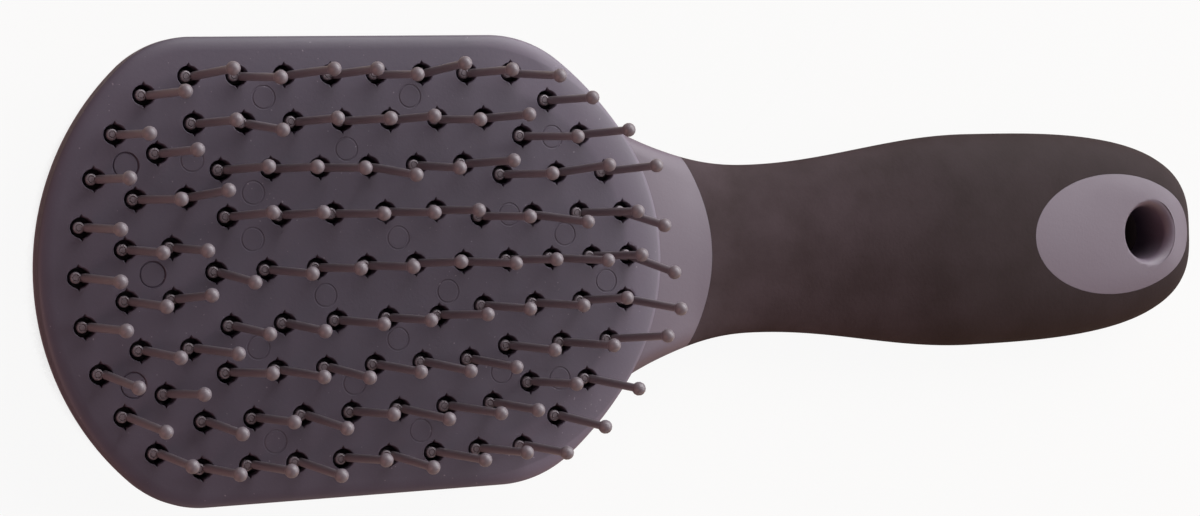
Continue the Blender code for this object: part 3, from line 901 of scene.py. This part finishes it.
@dataclass
class PinShape:
    """Sizes of one ball-tipped pin, the stud beside it and the hole round both."""

    height: float = 0.0209
    root_diameter: float = 0.0016
    neck_diameter: float = 0.0014
    ball_diameter: float = 0.0026
    stud_diameter: float = 0.0021
    root_overlap: float = 0.0003
    spine_gap: float = 0.0003
    spine_height: float = 0.0045
    spine_margin: float = 0.0003
    spine_end: float = 0.0008
    pin_clearance: float = 0.0002
    stud_clearance: float = 0.0006
    side_room: float = 0.0008
    notch_width: float = 0.0006
    notch_depth: float = 0.0005
    rim_radius: float = 0.00022
    rim_margin: float = 0.0001
    # Angles at which the rounded rim has its loops, in degrees from the hole's wall
    rim_turns: tuple[float, ...] = (25.0, 50.0, 75.0)
    # Degrees towards +X and +Y, and how far the leans spread
    mean_lean: Point = (0.0, -0.6)
    lean: float = 1.4
    flare: float = 0.00004
    flare_length: float = 0.0006
    stud_drop: float = 0.00015
    stud_edge: float = 0.0003
    # Shares of the stud's radius at which its ring starts, is deepest and ends
    stud_ring: tuple[float, ...] = (0.66, 0.55, 0.44)
    stud_ring_depth: float = 0.00016
    ball_steps: int = 8
    flare_steps: int = 3
    edge_steps: int = 3
    pin_sides: int = 14
    stud_sides: int = 20
    quarter_points: int = 7

    @property
    def hole_length(self) -> float:
        """Length of the hole along the brush."""
        return (self.stud_clearance + self.stud_diameter - self.root_overlap + self.root_diameter
                + self.pin_clearance)

    @property
    def hole_width(self) -> float:
        """Width of the hole across the brush."""
        return self.stud_diameter + 2 * self.side_room

    @property
    def stud_dx(self) -> float:
        """Place of the stud from the hole's centre."""
        return -self.hole_length / 2 + self.stud_clearance + self.stud_diameter / 2

    @property
    def pin_dx(self) -> float:
        """Place of the pin from the hole's centre."""
        return self.hole_length / 2 - self.pin_clearance - self.root_diameter / 2

    @property
    def spine_top(self) -> float:
        """Height of the top of the spines."""
        return LAYOUT.plate_under - self.spine_gap

    def pin(self) -> bmesh.types.BMesh:
        """Turn one pin, its foot at the spine and its axis on Z.

        Returns:
            The closed pin.
        """
        root, neck, ball = (size / 2 for size in (self.root_diameter, self.neck_diameter,
                                                  self.ball_diameter))
        center = LAYOUT.head_thickness + self.height - ball
        foot = self.spine_top - OVERRUN
        touch = math.asin(neck / ball)
        joint = center - ball * math.cos(touch)
        profile = [(0.0, foot), (root, foot), (root, self.spine_top)]
        profile += [(neck + self.flare * share, joint - self.flare_length * share)
                    for share in (1 - i / self.flare_steps for i in range(self.flare_steps))]
        for i in range(self.ball_steps):
            angle = touch - RIGHT_ANGLE + (math.pi - touch) * i / self.ball_steps
            profile.append((max(ball * math.cos(angle), 0.0), center + ball * math.sin(angle)))
        return spun(profile + [(0.0, center + ball)], self.pin_sides)

    def stud(self) -> bmesh.types.BMesh:
        """Turn one stud with a rounded edge and a fine ring in its flat top.

        Returns:
            The closed stud.
        """
        radius = self.stud_diameter / 2
        top = LAYOUT.head_thickness - self.stud_drop
        foot = self.spine_top - OVERRUN
        outer, groove, inner = (radius * share for share in self.stud_ring)
        profile = [(0.0, foot), (radius, foot)]
        edge = self.stud_edge
        profile += [(radius - edge * (1 - math.cos(a)), top - edge * (1 - math.sin(a)))
                    for a in (RIGHT_ANGLE * i / self.edge_steps
                              for i in range(self.edge_steps + 1))]
        profile += [(outer, top), (groove, top - self.stud_ring_depth), (inner, top), (0.0, top)]
        return spun(profile, self.stud_sides)

    def hole_outline(self, grow: float) -> list[Point]:
        """Trace one hole: an oval along X with a pointed notch at each side.

        Args:
            grow: How far the outline is moved outwards.

        Returns:
            Points in order, round the hole.
        """
        half_length = self.hole_length / 2 + grow
        half_width = self.hole_width / 2 + grow
        notch = math.asin((self.notch_width / 2 + grow) / half_length)
        limit = RIGHT_ANGLE - notch
        count = self.quarter_points
        angles = [limit * (i / count - 1) for i in range(2 * count + 1)]
        front = [(half_length * math.cos(a), half_width * math.sin(a)) for a in angles]
        back = [(-x, y) for x, y in reversed(front)]
        peak = half_width + self.notch_depth
        return front + [(0.0, peak)] + back + [(0.0, -peak)]

    def hole_cutter(self) -> bmesh.types.BMesh:
        """Build the cutter of one hole, flared to a rounded rim at the plate's top.

        Returns:
            The closed cutter.
        """
        top = LAYOUT.head_thickness
        rim = self.rim_radius
        levels = [(0.0, LAYOUT.plate_under - OVERRUN), (0.0, top - rim)]
        levels += [(rim * (1 - math.cos(a)), top - rim * (1 - math.sin(a)))
                   for a in map(math.radians, self.rim_turns)]
        levels.append((levels[-1][0] + self.rim_margin, top + OVERRUN))
        bm = bmesh.new()
        loops = []
        for grow, height in levels:
            verts = [bm.verts.new((x, y, height)) for x, y in self.hole_outline(grow)]
            loops.append([bm.edges.new((a, b)) for a, b in zip(verts, verts[1:] + verts[:1])])
        for lower, upper in zip(loops, loops[1:]):
            bmesh.ops.bridge_loops(bm, edges=lower + upper)
        bmesh.ops.holes_fill(bm, edges=loops[0] + loops[-1])
        bmesh.ops.recalc_face_normals(bm, faces=bm.faces)
        return bm


@dataclass
class PinPattern:
    """Where the pins stand: arcs on the nose, straight rows, and rows behind the shoulders."""

    nose_margin: float = 0.00715
    nose_arcs: tuple[tuple[str, int, float, float], ...] = (
        ("nose_comb_outer", 9, 0.0458, math.radians(44.2)),
        ("nose_comb_middle", 6, 0.0375, math.radians(35.0)),
        ("nose_comb_inner", 4, 0.0290, math.radians(27.7)),
    )
    row_margin: float = 0.0071
    row_axis_gap: float = 0.0098
    side_rows: tuple[tuple[str, int, float, float], ...] = (
        ("side_comb_1", 8, 0.0285, 0.0308),
        ("side_comb_2", 7, 0.0292, 0.0366),
        ("side_comb_3", 6, 0.0339, 0.0410),
        ("side_comb_4", 5, 0.0349, 0.0468),
    )
    middle_run: tuple[int, float, float] = (6, 0.0324, 0.0416)
    ridge_run: tuple[int, float, float] = (4, 0.0324, 0.0073)
    crowding: float = 0.11
    shoulder_rows: tuple[tuple[int, float, float, float], ...] = (
        (4, 0.00840, 0.0378, 0.0083),
        (3, 0.01609, 0.0331, 0.0120),
        (2, 0.02326, 0.0288, 0.0169),
        (1, 0.02990, 0.0234, 0.0234),
    )

    @property
    def arc_center_x(self) -> float:
        """X of the centre of the nose arcs."""
        return LAYOUT.nose_x + self.nose_margin + self.nose_arcs[0][2]

    @staticmethod
    def run(first: float, last: float, count: int, y: float, crowding: float = 0.0) -> list[Point]:
        """Spread pins along X.

        Args:
            first: X of the first pin.
            last: X of the last pin.
            count: Number of pins.
            y: Y of them all.
            crowding: How much they are drawn together towards the last one.

        Returns:
            Place of each pin.
        """
        if count == 1:
            return [(first, y)]
        shares = [i / (count - 1) for i in range(count)]
        return [(first + (last - first) * (t + crowding * t * (1 - t)), y) for t in shares]

    def nose(self, radius: float, half_angle: float, count: int) -> list[Point]:
        """Spread pins on one arc of the nose."""
        angles = [half_angle * (2 * i / (count - 1) - 1) for i in range(count)]
        return [(self.arc_center_x - radius * math.cos(a), radius * math.sin(a)) for a in angles]

    def side(self, index: int, label: Label) -> list[Point]:
        """Spread the pins of one straight side row.

        Args:
            index: Number of the row, from the outside inwards.
            label: Side of the brush.

        Returns:
            Place of each pin.
        """
        _, count, start, end = self.side_rows[index]
        row_y = LAYOUT.head_width / 2 - self.row_margin
        gap = (row_y - self.row_axis_gap) / (len(self.side_rows) - 1)
        return self.run(LAYOUT.nose_x + start, LAYOUT.ridge_x - end, count,
                        label.value * (row_y - gap * index))

    def middle(self) -> list[Point]:
        """Spread the pins of the middle row.

        Returns:
            Place of each pin, first those near the nose.
        """
        count, start, end = self.middle_run
        places = self.run(LAYOUT.nose_x + start, LAYOUT.ridge_x - end, count, 0.0)
        count, start, end = self.ridge_run
        return places + self.run(LAYOUT.ridge_x - start, LAYOUT.ridge_x - end, count, 0.0,
                                 self.crowding)

    def shoulder(self, label: Label) -> list[Point]:
        """Spread the pins behind one shoulder.

        Args:
            label: Side of the brush.

        Returns:
            Place of each pin.
        """
        return [place for count, y, start, end in self.shoulder_rows
                for place in self.run(LAYOUT.ridge_x - start, LAYOUT.ridge_x - end, count,
                                      label.value * y, self.crowding)]

    def combs(self) -> dict[str, list[Point]]:
        """Group the pins by the comb that carries them.

        Returns:
            Name of each comb, with the places of its pins.
        """
        groups = {name: self.nose(radius, angle, count)
                  for name, count, radius, angle in self.nose_arcs}
        groups["middle_comb"] = self.middle()
        for label in Label:
            side = label.name.lower()
            groups[f"{side}_shoulder_comb"] = self.shoulder(label)
            for index, row in enumerate(self.side_rows):
                groups[f"{side}_{row[0]}"] = self.side(index, label)
        return groups


@dataclass
class PinComb:
    """One strip of nylon with its pins and studs.

    The arc, for a curved strip, is the X of its centre, its radius and half its angle. Bent pins
    are numbered, with their leans in degrees towards +X and +Y.
    """

    name: str
    places: list[Point]
    shape: PinShape
    arc: Optional[tuple[float, float, float]] = None
    bent: dict[int, Point] = field(default_factory=dict)
    arc_steps: int = 24

    def spine(self) -> bpy.types.Object:
        """Build the strip that carries the pins.

        Returns:
            The strip, straight or curved.
        """
        shape = self.shape
        half = max(shape.stud_diameter, shape.root_diameter) / 2 + shape.spine_margin
        back = shape.stud_dx - shape.stud_diameter / 2 - shape.spine_margin
        front = shape.pin_dx + shape.root_diameter / 2 + shape.spine_margin
        low = shape.spine_top - shape.spine_height
        if self.arc is None:
            back -= shape.spine_end
            front += shape.spine_end
            corners = [(x + dx, y + dy) for x, y in self.places for dx in (back, front)
                       for dy in (-half, half)]
            outline = [corners[i] for i in geometry.convex_hull_2d(corners)]
            return prism(f"{self.name}_strip", low, shape.spine_top, outline)
        center_x, radius, half_angle = self.arc
        center = (center_x + (front + back) / 2, 0.0)
        half_width = (front - back) / 2
        reach = half_angle + front / radius
        outer = arc(center, radius + half_width, math.pi - reach, math.pi + reach, self.arc_steps)
        inner = arc(center, radius - half_width, math.pi + reach, math.pi - reach, self.arc_steps)
        return prism(f"{self.name}_strip", low, shape.spine_top, outer + inner)

    def build(self, chance: random.Random) -> bpy.types.Object:
        """Build the comb.

        Args:
            chance: Seeded source of each pin's small lean.

        Returns:
            The comb, dressed and riding on the body.
        """
        pins = []
        for index, (x, y) in enumerate(self.places):
            foot = Vector((x + self.shape.pin_dx, y, self.shape.spine_top))
            lean = [chance.gauss(mean, self.shape.lean) for mean in self.shape.mean_lean]
            lean = self.bent.get(index, lean)
            turn = (Matrix.Rotation(math.radians(lean[0]), 4, "Y")
                    @ Matrix.Rotation(math.radians(-lean[1]), 4, "X"))
            pins.append(Matrix.Translation(foot) @ turn @ Matrix.Translation((0, 0, -foot.z)))
        studs = [Matrix.Translation((x + self.shape.stud_dx, y, 0.0)) for x, y in self.places]
        comb = combine(self.spine(), "UNION", scatter("pins", self.shape.pin(), pins),
                       scatter("studs", self.shape.stud(), studs))
        return dress(comb, PIN_NYLON, self.name)


@dataclass
class EjectorMarks:
    """Round sunken marks that the mould's ejector pins left on the plate."""

    radius: float = 0.0021
    groove: float = 0.00020
    depth: float = 0.00010
    disc_radius: float = 0.0025
    disc_depth: float = 0.00018
    disc_groove: float = 0.00020
    sides: int = 48
    mirrored: tuple[Point, ...] = (
        (-0.08365, 0.0312), (-0.05525, 0.0310), (-0.06805, 0.0215), (-0.08625, 0.0140),
        (-0.02655, 0.0229))
    single: tuple[Point, ...] = (
        (-0.0975, 0.0202), (-0.0359, 0.0085), (-0.08665, 0.0056), (-0.05845, 0.0049),
        (-0.02455, 0.0044), (-0.07305, -0.0051), (-0.04885, -0.0054), (-0.01615, -0.0048),
        (-0.05915, -0.0138), (-0.03855, -0.0210))
    discs: tuple[Point, ...] = ((-0.10965, 0.0195), (-0.10545, 0.0), (-0.10965, -0.0195))

    def cutter(self, name: str, profile: Sequence[Point],
               places: Iterable[Point]) -> bpy.types.Object:
        """Build the cutter of marks of one kind.

        Args:
            name: Name of the cutter.
            profile: Its section, as distances from the axis and heights above the plate's face.
            places: Centre of each mark.

        Returns:
            The cutter.
        """
        section = [(radius, LAYOUT.head_thickness + height) for radius, height in profile]
        return scatter(name, spun(section, self.sides),
                       [Matrix.Translation((x, y, 0.0)) for x, y in places])

    def cutters(self) -> list[bpy.types.Object]:
        """Build the cutters of the faint rings and of the sunken discs.

        Returns:
            One cutter for the rings and one for the discs.
        """
        near, far = self.radius - self.groove, self.radius + self.groove
        ring = [(near, OVERRUN), (near, 0.0), (self.radius - self.groove / 2, -self.depth),
                (self.radius + self.groove / 2, -self.depth), (far, 0.0), (far, OVERRUN)]
        foot = self.disc_radius - self.disc_groove
        disc = [(0.0, OVERRUN), (0.0, -self.disc_depth), (foot - self.disc_groove, -self.disc_depth),
                (foot, -2 * self.disc_depth), (self.disc_radius, 0.0), (self.disc_radius, OVERRUN)]
        rings = list(self.single) + [(x, sign * y) for x, y in self.mirrored for sign in (1, -1)]
        return [self.cutter("rings", ring, rings), self.cutter("discs", disc, self.discs)]


@dataclass
class FacePlate:
    """The perforated plate over the head, with a rolled rim and a lip inside the body."""

    head: RoundedForm
    shape: PinShape
    marks: EjectorMarks = field(default_factory=EjectorMarks)
    lip_gap: float = 0.0006
    lip_wall: float = 0.0010
    lip_depth: float = 0.0012

    def build(self, places: list[Point]) -> bpy.types.Object:
        """Build the plate.

        Args:
            places: Centre of each hole.

        Returns:
            The plate, dressed and riding on the body.
        """
        under = LAYOUT.plate_under
        plate = combine(self.head.solid("plate"), "DIFFERENCE", slab("under", -FAR, under))
        holes = scatter("holes", self.shape.hole_cutter(),
                        [Matrix.Translation((x, y, 0.0)) for x, y in places])
        combine(plate, "DIFFERENCE", holes, *self.marks.cutters())
        setback = LAYOUT.shell_wall + self.lip_gap
        lip = self.head.column("lip", setback, under - self.lip_depth, under + OVERRUN)
        combine(lip, "DIFFERENCE", self.head.column("lip_core", setback + self.lip_wall, -FAR, FAR))
        combine(plate, "UNION", lip)
        return dress(plate, PLATE_PLASTIC, "face_plate")


@dataclass
class GripFront:
    """The arc where the grip starts on the neck, which bulges towards the end."""

    collar_length: float = 0.0123
    radius: float = 0.0345
    reach: float = math.radians(80)
    steps: int = 96

    def side(self, name: str, setback: float, behind: bool) -> bpy.types.Object:
        """Make a block of everything on one side of the arc.

        Args:
            name: Name of the block.
            setback: How far the arc is moved towards the nose.
            behind: True for the handle's side, False for the nose's side.

        Returns:
            The block.
        """
        center = (LAYOUT.ridge_x + self.collar_length - setback - self.radius, 0.0)
        edge = arc(center, self.radius, -self.reach, self.reach, self.steps)
        outer = FAR if behind else -FAR
        edge = [(edge[0][0], -FAR)] + edge + [(edge[-1][0], FAR), (outer, FAR), (outer, -FAR)]
        return prism(name, -FAR, FAR, edge)


@dataclass
class GripWindow:
    """The oval where the rigid body shows through the grip."""

    length: float = 0.0411
    width: float = 0.0252
    end_margin: float = 0.0024
    steps: int = 120

    def block(self, name: str, clearance: float) -> bpy.types.Object:
        """Make an upright oval block.

        Args:
            name: Name of the block.
            clearance: How far its outline is moved inwards.

        Returns:
            The block.
        """
        center = LAYOUT.end_x - self.end_margin - self.length / 2
        angles = [2 * math.pi * i / self.steps for i in range(self.steps)]
        oval = [(center + (self.length / 2 - clearance) * math.cos(a),
                 (self.width / 2 - clearance) * math.sin(a)) for a in angles]
        return prism(name, -FAR, FAR, oval)


@dataclass
class HandleBody:
    """The rigid moulding: the ribbed shell of the head, the collar and the core of the handle."""

    head: RoundedForm
    handle: RoundedForm
    front: GripFront
    window: GripWindow
    hole_diameter: float = 0.0112
    hole_lip: float = 0.0019
    hole_lip_width: float = 0.0018
    hole_lean: float = math.radians(5.0)
    lip_turn: float = math.radians(85)
    lip_steps: int = 12
    hole_sides: int = 72
    rib_thickness: float = 0.0016
    rib_count: int = 5
    rib_top: float = 0.0079

    def hang_hole(self) -> list[bpy.types.Object]:
        """Build the cutters of the hang hole, with a rounded lip at both faces.

        The upper lip leans with the handle, whose face already falls away to its end there.

        Returns:
            The bore with its lower lip, and the upper lip.
        """
        x = LAYOUT.end_x - LAYOUT.hole_to_end
        radius = self.hole_diameter / 2
        angles = [self.lip_turn * i / self.lip_steps for i in range(self.lip_steps + 1)]
        flare = [(radius + self.hole_lip_width * (1 - math.cos(a)), self.hole_lip * math.sin(a))
                 for a in angles]
        low = self.handle.back.at(x) + self.hole_lip
        high = self.handle.face.at(x) - self.hole_lip
        wide = flare[-1][0]
        lower = [(0.0, -FAR), (wide, -FAR)] + [(r, low - dz) for r, dz in reversed(flare)]
        lower += [(radius, FAR), (0.0, FAR)]
        upper = [(0.0, 0.0)] + flare + [(wide, FAR), (0.0, FAR)]
        lean = Matrix.Translation((x, 0.0, high)) @ Matrix.Rotation(self.hole_lean, 4, "Y")
        upright = Matrix.Translation((x, 0.0, 0.0))
        return [scatter("hang_hole", spun(lower, self.hole_sides), [upright]),
                scatter("hang_hole_lip", spun(upper, self.hole_sides), [lean])]

    def ribs(self) -> bpy.types.Object:
        """Build the cross ribs on the shell's floor.

        Returns:
            The ribs, cut to the inside of the shell.
        """
        pitch = LAYOUT.head_length / (self.rib_count + 1)
        half = self.rib_thickness / 2
        wide = LAYOUT.head_width
        places = [LAYOUT.nose_x + pitch * (i + 1) for i in range(self.rib_count)]
        outlines = [[(x - half, -wide), (x + half, -wide), (x + half, wide), (x - half, wide)]
                    for x in places]
        return combine(prism("ribs", -OVERRUN, self.rib_top, *outlines), "INTERSECT",
                       self.head.solid("rib_limit", LAYOUT.shell_wall / 2))

    def build(self) -> bpy.types.Object:
        """Build the body.

        Returns:
            The body, dressed and riding on itself.
        """
        seam = LAYOUT.seam
        neck = combine(self.handle.solid("neck"), "DIFFERENCE",
                       self.front.side("grip_side", seam, True))
        island = combine(self.window.block("island", seam), "INTERSECT",
                         self.handle.solid("limit"))
        core = self.handle.solid("core", LAYOUT.grip_wall + seam)
        body = combine(self.head.solid("body"), "UNION", neck, core, island)
        seat = combine(self.head.solid("seat", -seam), "DIFFERENCE",
                       slab("kept", -FAR, LAYOUT.plate_under - seam))
        combine(body, "DIFFERENCE", seat, self.head.solid("pocket", LAYOUT.shell_wall))
        combine(body, "UNION", self.ribs())
        combine(body, "DIFFERENCE", *self.hang_hole())
        return dress(body, BODY_PLASTIC, "handle_body")


@dataclass
class GripSleeve:
    """The soft moulding over the handle, open in an oval on both faces."""

    handle: RoundedForm
    front: GripFront
    window: GripWindow

    def build(self) -> bpy.types.Object:
        """Build the grip.

        Returns:
            The grip, dressed and riding on the body.
        """
        grip = self.handle.solid("grip")
        combine(grip, "DIFFERENCE", self.front.side("nose_side", 0.0, False),
                self.handle.solid("hollow", LAYOUT.grip_wall), self.window.block("opening", 0.0))
        return dress(grip, GRIP_RUBBER, "grip_sleeve")


def dress(obj: bpy.types.Object, finish: Finish, node: str) -> bpy.types.Object:
    """Clean a piece, give it its finish, and let it ride in place of its solid.

    Args:
        obj: The piece.
        finish: Its finish.
        node: The solid that it stands for.

    Returns:
        The piece.
    """
    obj.name = f"{node}_look"
    tidy_mesh(obj)
    obj.data.materials.clear()
    obj.data.materials.append(finish.material())
    shade(obj)
    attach(obj, BODY)
    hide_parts(node)
    LOG.info("%s: %d faces", obj.name, len(obj.data.polygons))
    return obj


# Studio


@dataclass
class Studio:
    """A pale floor, plain soft lamps and the camera at the photograph's angle."""

    camera_place: Vector = field(default_factory=lambda: Vector((-0.2558, 0.0122, 0.5146)))
    camera_right: Vector = field(default_factory=lambda: Vector((0.9013, -0.0318, 0.4320)))
    camera_up: Vector = field(default_factory=lambda: Vector((0.0383, 0.9992, -0.0064)))
    lens: float = 86.86
    rise: float = 0.00027
    room_level: float = 0.03
    floor_glow: float = 0.93
    paper: str = "#b9aca0"
    # How far off a cover paints shadow on the paper, and the openness at which that starts and ends
    cover: float = 0.030
    covered: float = 0.30
    uncovered: float = 0.40
    painted_shadow_paper: str = "#5f554f"
    # The painted shadow in the well below the hang hole, and where it is full and where it ends
    well_ahead: float = 0.0030
    well_dark: float = 0.0050
    well_open: float = 0.0100
    painted_well_shadow: str = "#1c1618"

    def camera(self) -> None:
        """Place the camera."""
        data = bpy.data.cameras.new("camera")
        data.sensor_width = 36.0
        data.lens = self.lens
        data.clip_start = 0.01
        obj = link("camera", data)
        right = self.camera_right.normalized()
        back = right.cross(self.camera_up).normalized()
        up = back.cross(right)
        turn = Matrix((right, up, back)).transposed().to_4x4()
        obj.matrix_world = Matrix.Translation(self.camera_place - up * self.rise) @ turn
        bpy.context.scene.camera = obj

    @staticmethod
    def lamp(name: str, place: Sequence[float], size: float, power: float, tone: str = "#ffffff",
             aim: Sequence[float] = (0.0, 0.0, 0.0)) -> None:
        """Add one square soft lamp.

        Args:
            name: Name of the lamp.
            place: Where it stands.
            size: Side of its square.
            power: Power in watts.
            tone: Its colour.
            aim: Where it points.
        """
        data = bpy.data.lights.new(name, "AREA")
        data.size = size
        data.energy = power
        data.color = srgb(tone)[:3]
        turn = (Vector(aim) - Vector(place)).to_track_quat("-Z", "Y").to_matrix().to_4x4()
        link(name, data).matrix_world = Matrix.Translation(Vector(place)) @ turn

    def floor(self) -> None:
        """Lay the pale floor, which shows white to the camera, keeps a soft shadow, and has shadow
        painted under the brush.
        """
        bm = bmesh.new()
        bmesh.ops.create_grid(bm, x_segments=1, y_segments=1, size=4.0)
        obj = add_object("floor", bm)
        mat = bpy.data.materials.new("floor_paper")
        mat.use_nodes = True
        tree = mat.node_tree
        paper = tree.nodes["Principled BSDF"]
        paper.inputs["Roughness"].default_value = 0.9
        paper.inputs["Specular IOR Level"].default_value = 0.0
        # Close under the brush, and below its hang hole, the glow is off so that the paper keeps its
        # full shadow, and the paper's tone is darkened there as painted shadow.
        cover = add_node(tree, "ShaderNodeAmbientOcclusion", {"Distance": self.cover}, samples=16)
        open_floor = add_node(tree, "ShaderNodeMapRange",
                              {"Value": cover.outputs["AO"], "From Min": self.covered,
                               "From Max": self.uncovered}).outputs[0]
        place = add_node(tree, "ShaderNodeTexCoord").outputs["Object"]
        well_x = LAYOUT.end_x - LAYOUT.hole_to_end + self.well_ahead
        away = add_node(tree, "ShaderNodeVectorMath", {0: place, 1: (well_x, 0.0, 0.0)},
                        operation="DISTANCE").outputs["Value"]
        beyond = add_node(tree, "ShaderNodeMapRange",
                          {"Value": away, "From Min": self.well_dark, "From Max": self.well_open},
                          interpolation_type="SMOOTHSTEP").outputs[0]
        # Painted shadow: the paper darkens where it is covered, and is darkest in the well below the
        # hang hole.
        tone = lay(tree, self.painted_shadow_paper, (open_floor, self.paper))
        tree.links.new(lay(tree, self.painted_well_shadow, (beyond, tone)), paper.inputs["Base Color"])
        rays = add_node(tree, "ShaderNodeLightPath")
        share = add_node(tree, "ShaderNodeMath", {0: rays.outputs["Is Camera Ray"],
                                                  1: rays.outputs["Is Transmission Ray"]},
                         operation="MAXIMUM").outputs[0]
        for factor in (open_floor, beyond, self.floor_glow):
            share = add_node(tree, "ShaderNodeMath", {0: share, 1: factor},
                             operation="MULTIPLY").outputs[0]
        white = add_node(tree, "ShaderNodeEmission", {"Color": (1.0, 1.0, 1.0, 1.0), "Strength": 1.0})
        mix = add_node(tree, "ShaderNodeMixShader",
                       {0: share, 1: paper.outputs[0], 2: white.outputs[0]})
        tree.links.new(mix.outputs[0], tree.nodes["Material Output"].inputs["Surface"])
        obj.data.materials.append(mat)

    def world(self) -> None:
        """Fill the room with even light, white where the camera sees it."""
        world = bpy.data.worlds.new("room")
        bpy.context.scene.world = world
        world.use_nodes = True
        tree = world.node_tree
        background = tree.nodes["Background"]
        rays = add_node(tree, "ShaderNodeLightPath")
        level = add_node(tree, "ShaderNodeMix",
                         {0: rays.outputs["Is Camera Ray"], 2: self.room_level, 3: 1.0},
                         data_type="FLOAT")
        tree.links.new(level.outputs[0], background.inputs["Strength"])
        background.inputs["Color"].default_value = (1.0, 1.0, 1.0, 1.0)

    def build(self) -> None:
        """Set up the whole studio."""
        self.camera()
        self.floor()
        self.world()
        self.lamp("key", (0.66, 0.55, 0.56), 1.0, 7.4)
        self.lamp("side", (0.45, 0.80, 0.45), 1.0, 9.1)
        self.lamp("back", (0.90, 0.05, 0.45), 0.8, 4.7)
        self.lamp("nose", (-0.84, -0.30, 0.40), 0.8, 3.3, "#ffccc4")
        self.lamp("low", (0.10, -0.80, 0.25), 0.5, 1.1, "#ffe8e0")
        self.lamp("warm", (0.30, -0.28, 0.07), 0.20, 0.16, "#ffb020", (0.11, 0.0, 0.0))
        bpy.context.scene.view_settings.view_transform = "Standard"


def main() -> None:
    """Build the studio and the dressed brush."""
    logging.basicConfig(level=logging.INFO, format="%(name)s: %(message)s")
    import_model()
    Studio().build()

    head = HeadForm().form()
    handle = HandleForm().form()
    front = GripFront()
    window = GripWindow()
    shape = PinShape()
    pattern = PinPattern()

    HandleBody(head, handle, front, window).build()
    GripSleeve(handle, front, window).build()
    combs = pattern.combs()
    FacePlate(head, shape).build([place for places in combs.values() for place in places])
    # Pins bent in use, as degrees towards +X and +Y
    bent = {"middle_comb": {9: (-3.0, -8.0), 7: (3.0, -1.0)},
            "left_shoulder_comb": {3: (-5.0, -7.0), 1: (3.0, -4.0), 2: (4.0, 0.0)},
            "right_shoulder_comb": {3: (2.0, -4.0), 6: (4.0, 3.0)},
            "left_side_comb_3": {3: (1.0, -5.0)},
            "left_side_comb_1": {7: (0.0, -4.0)}}
    arcs = {name: (pattern.arc_center_x, radius, angle)
            for name, _, radius, angle in pattern.nose_arcs}
    chance = random.Random(LEAN_SEED)
    for name, places in combs.items():
        PinComb(name, places, shape, arcs.get(name), bent.get(name, {})).build(chance)


if __name__ == "__main__":
    main()
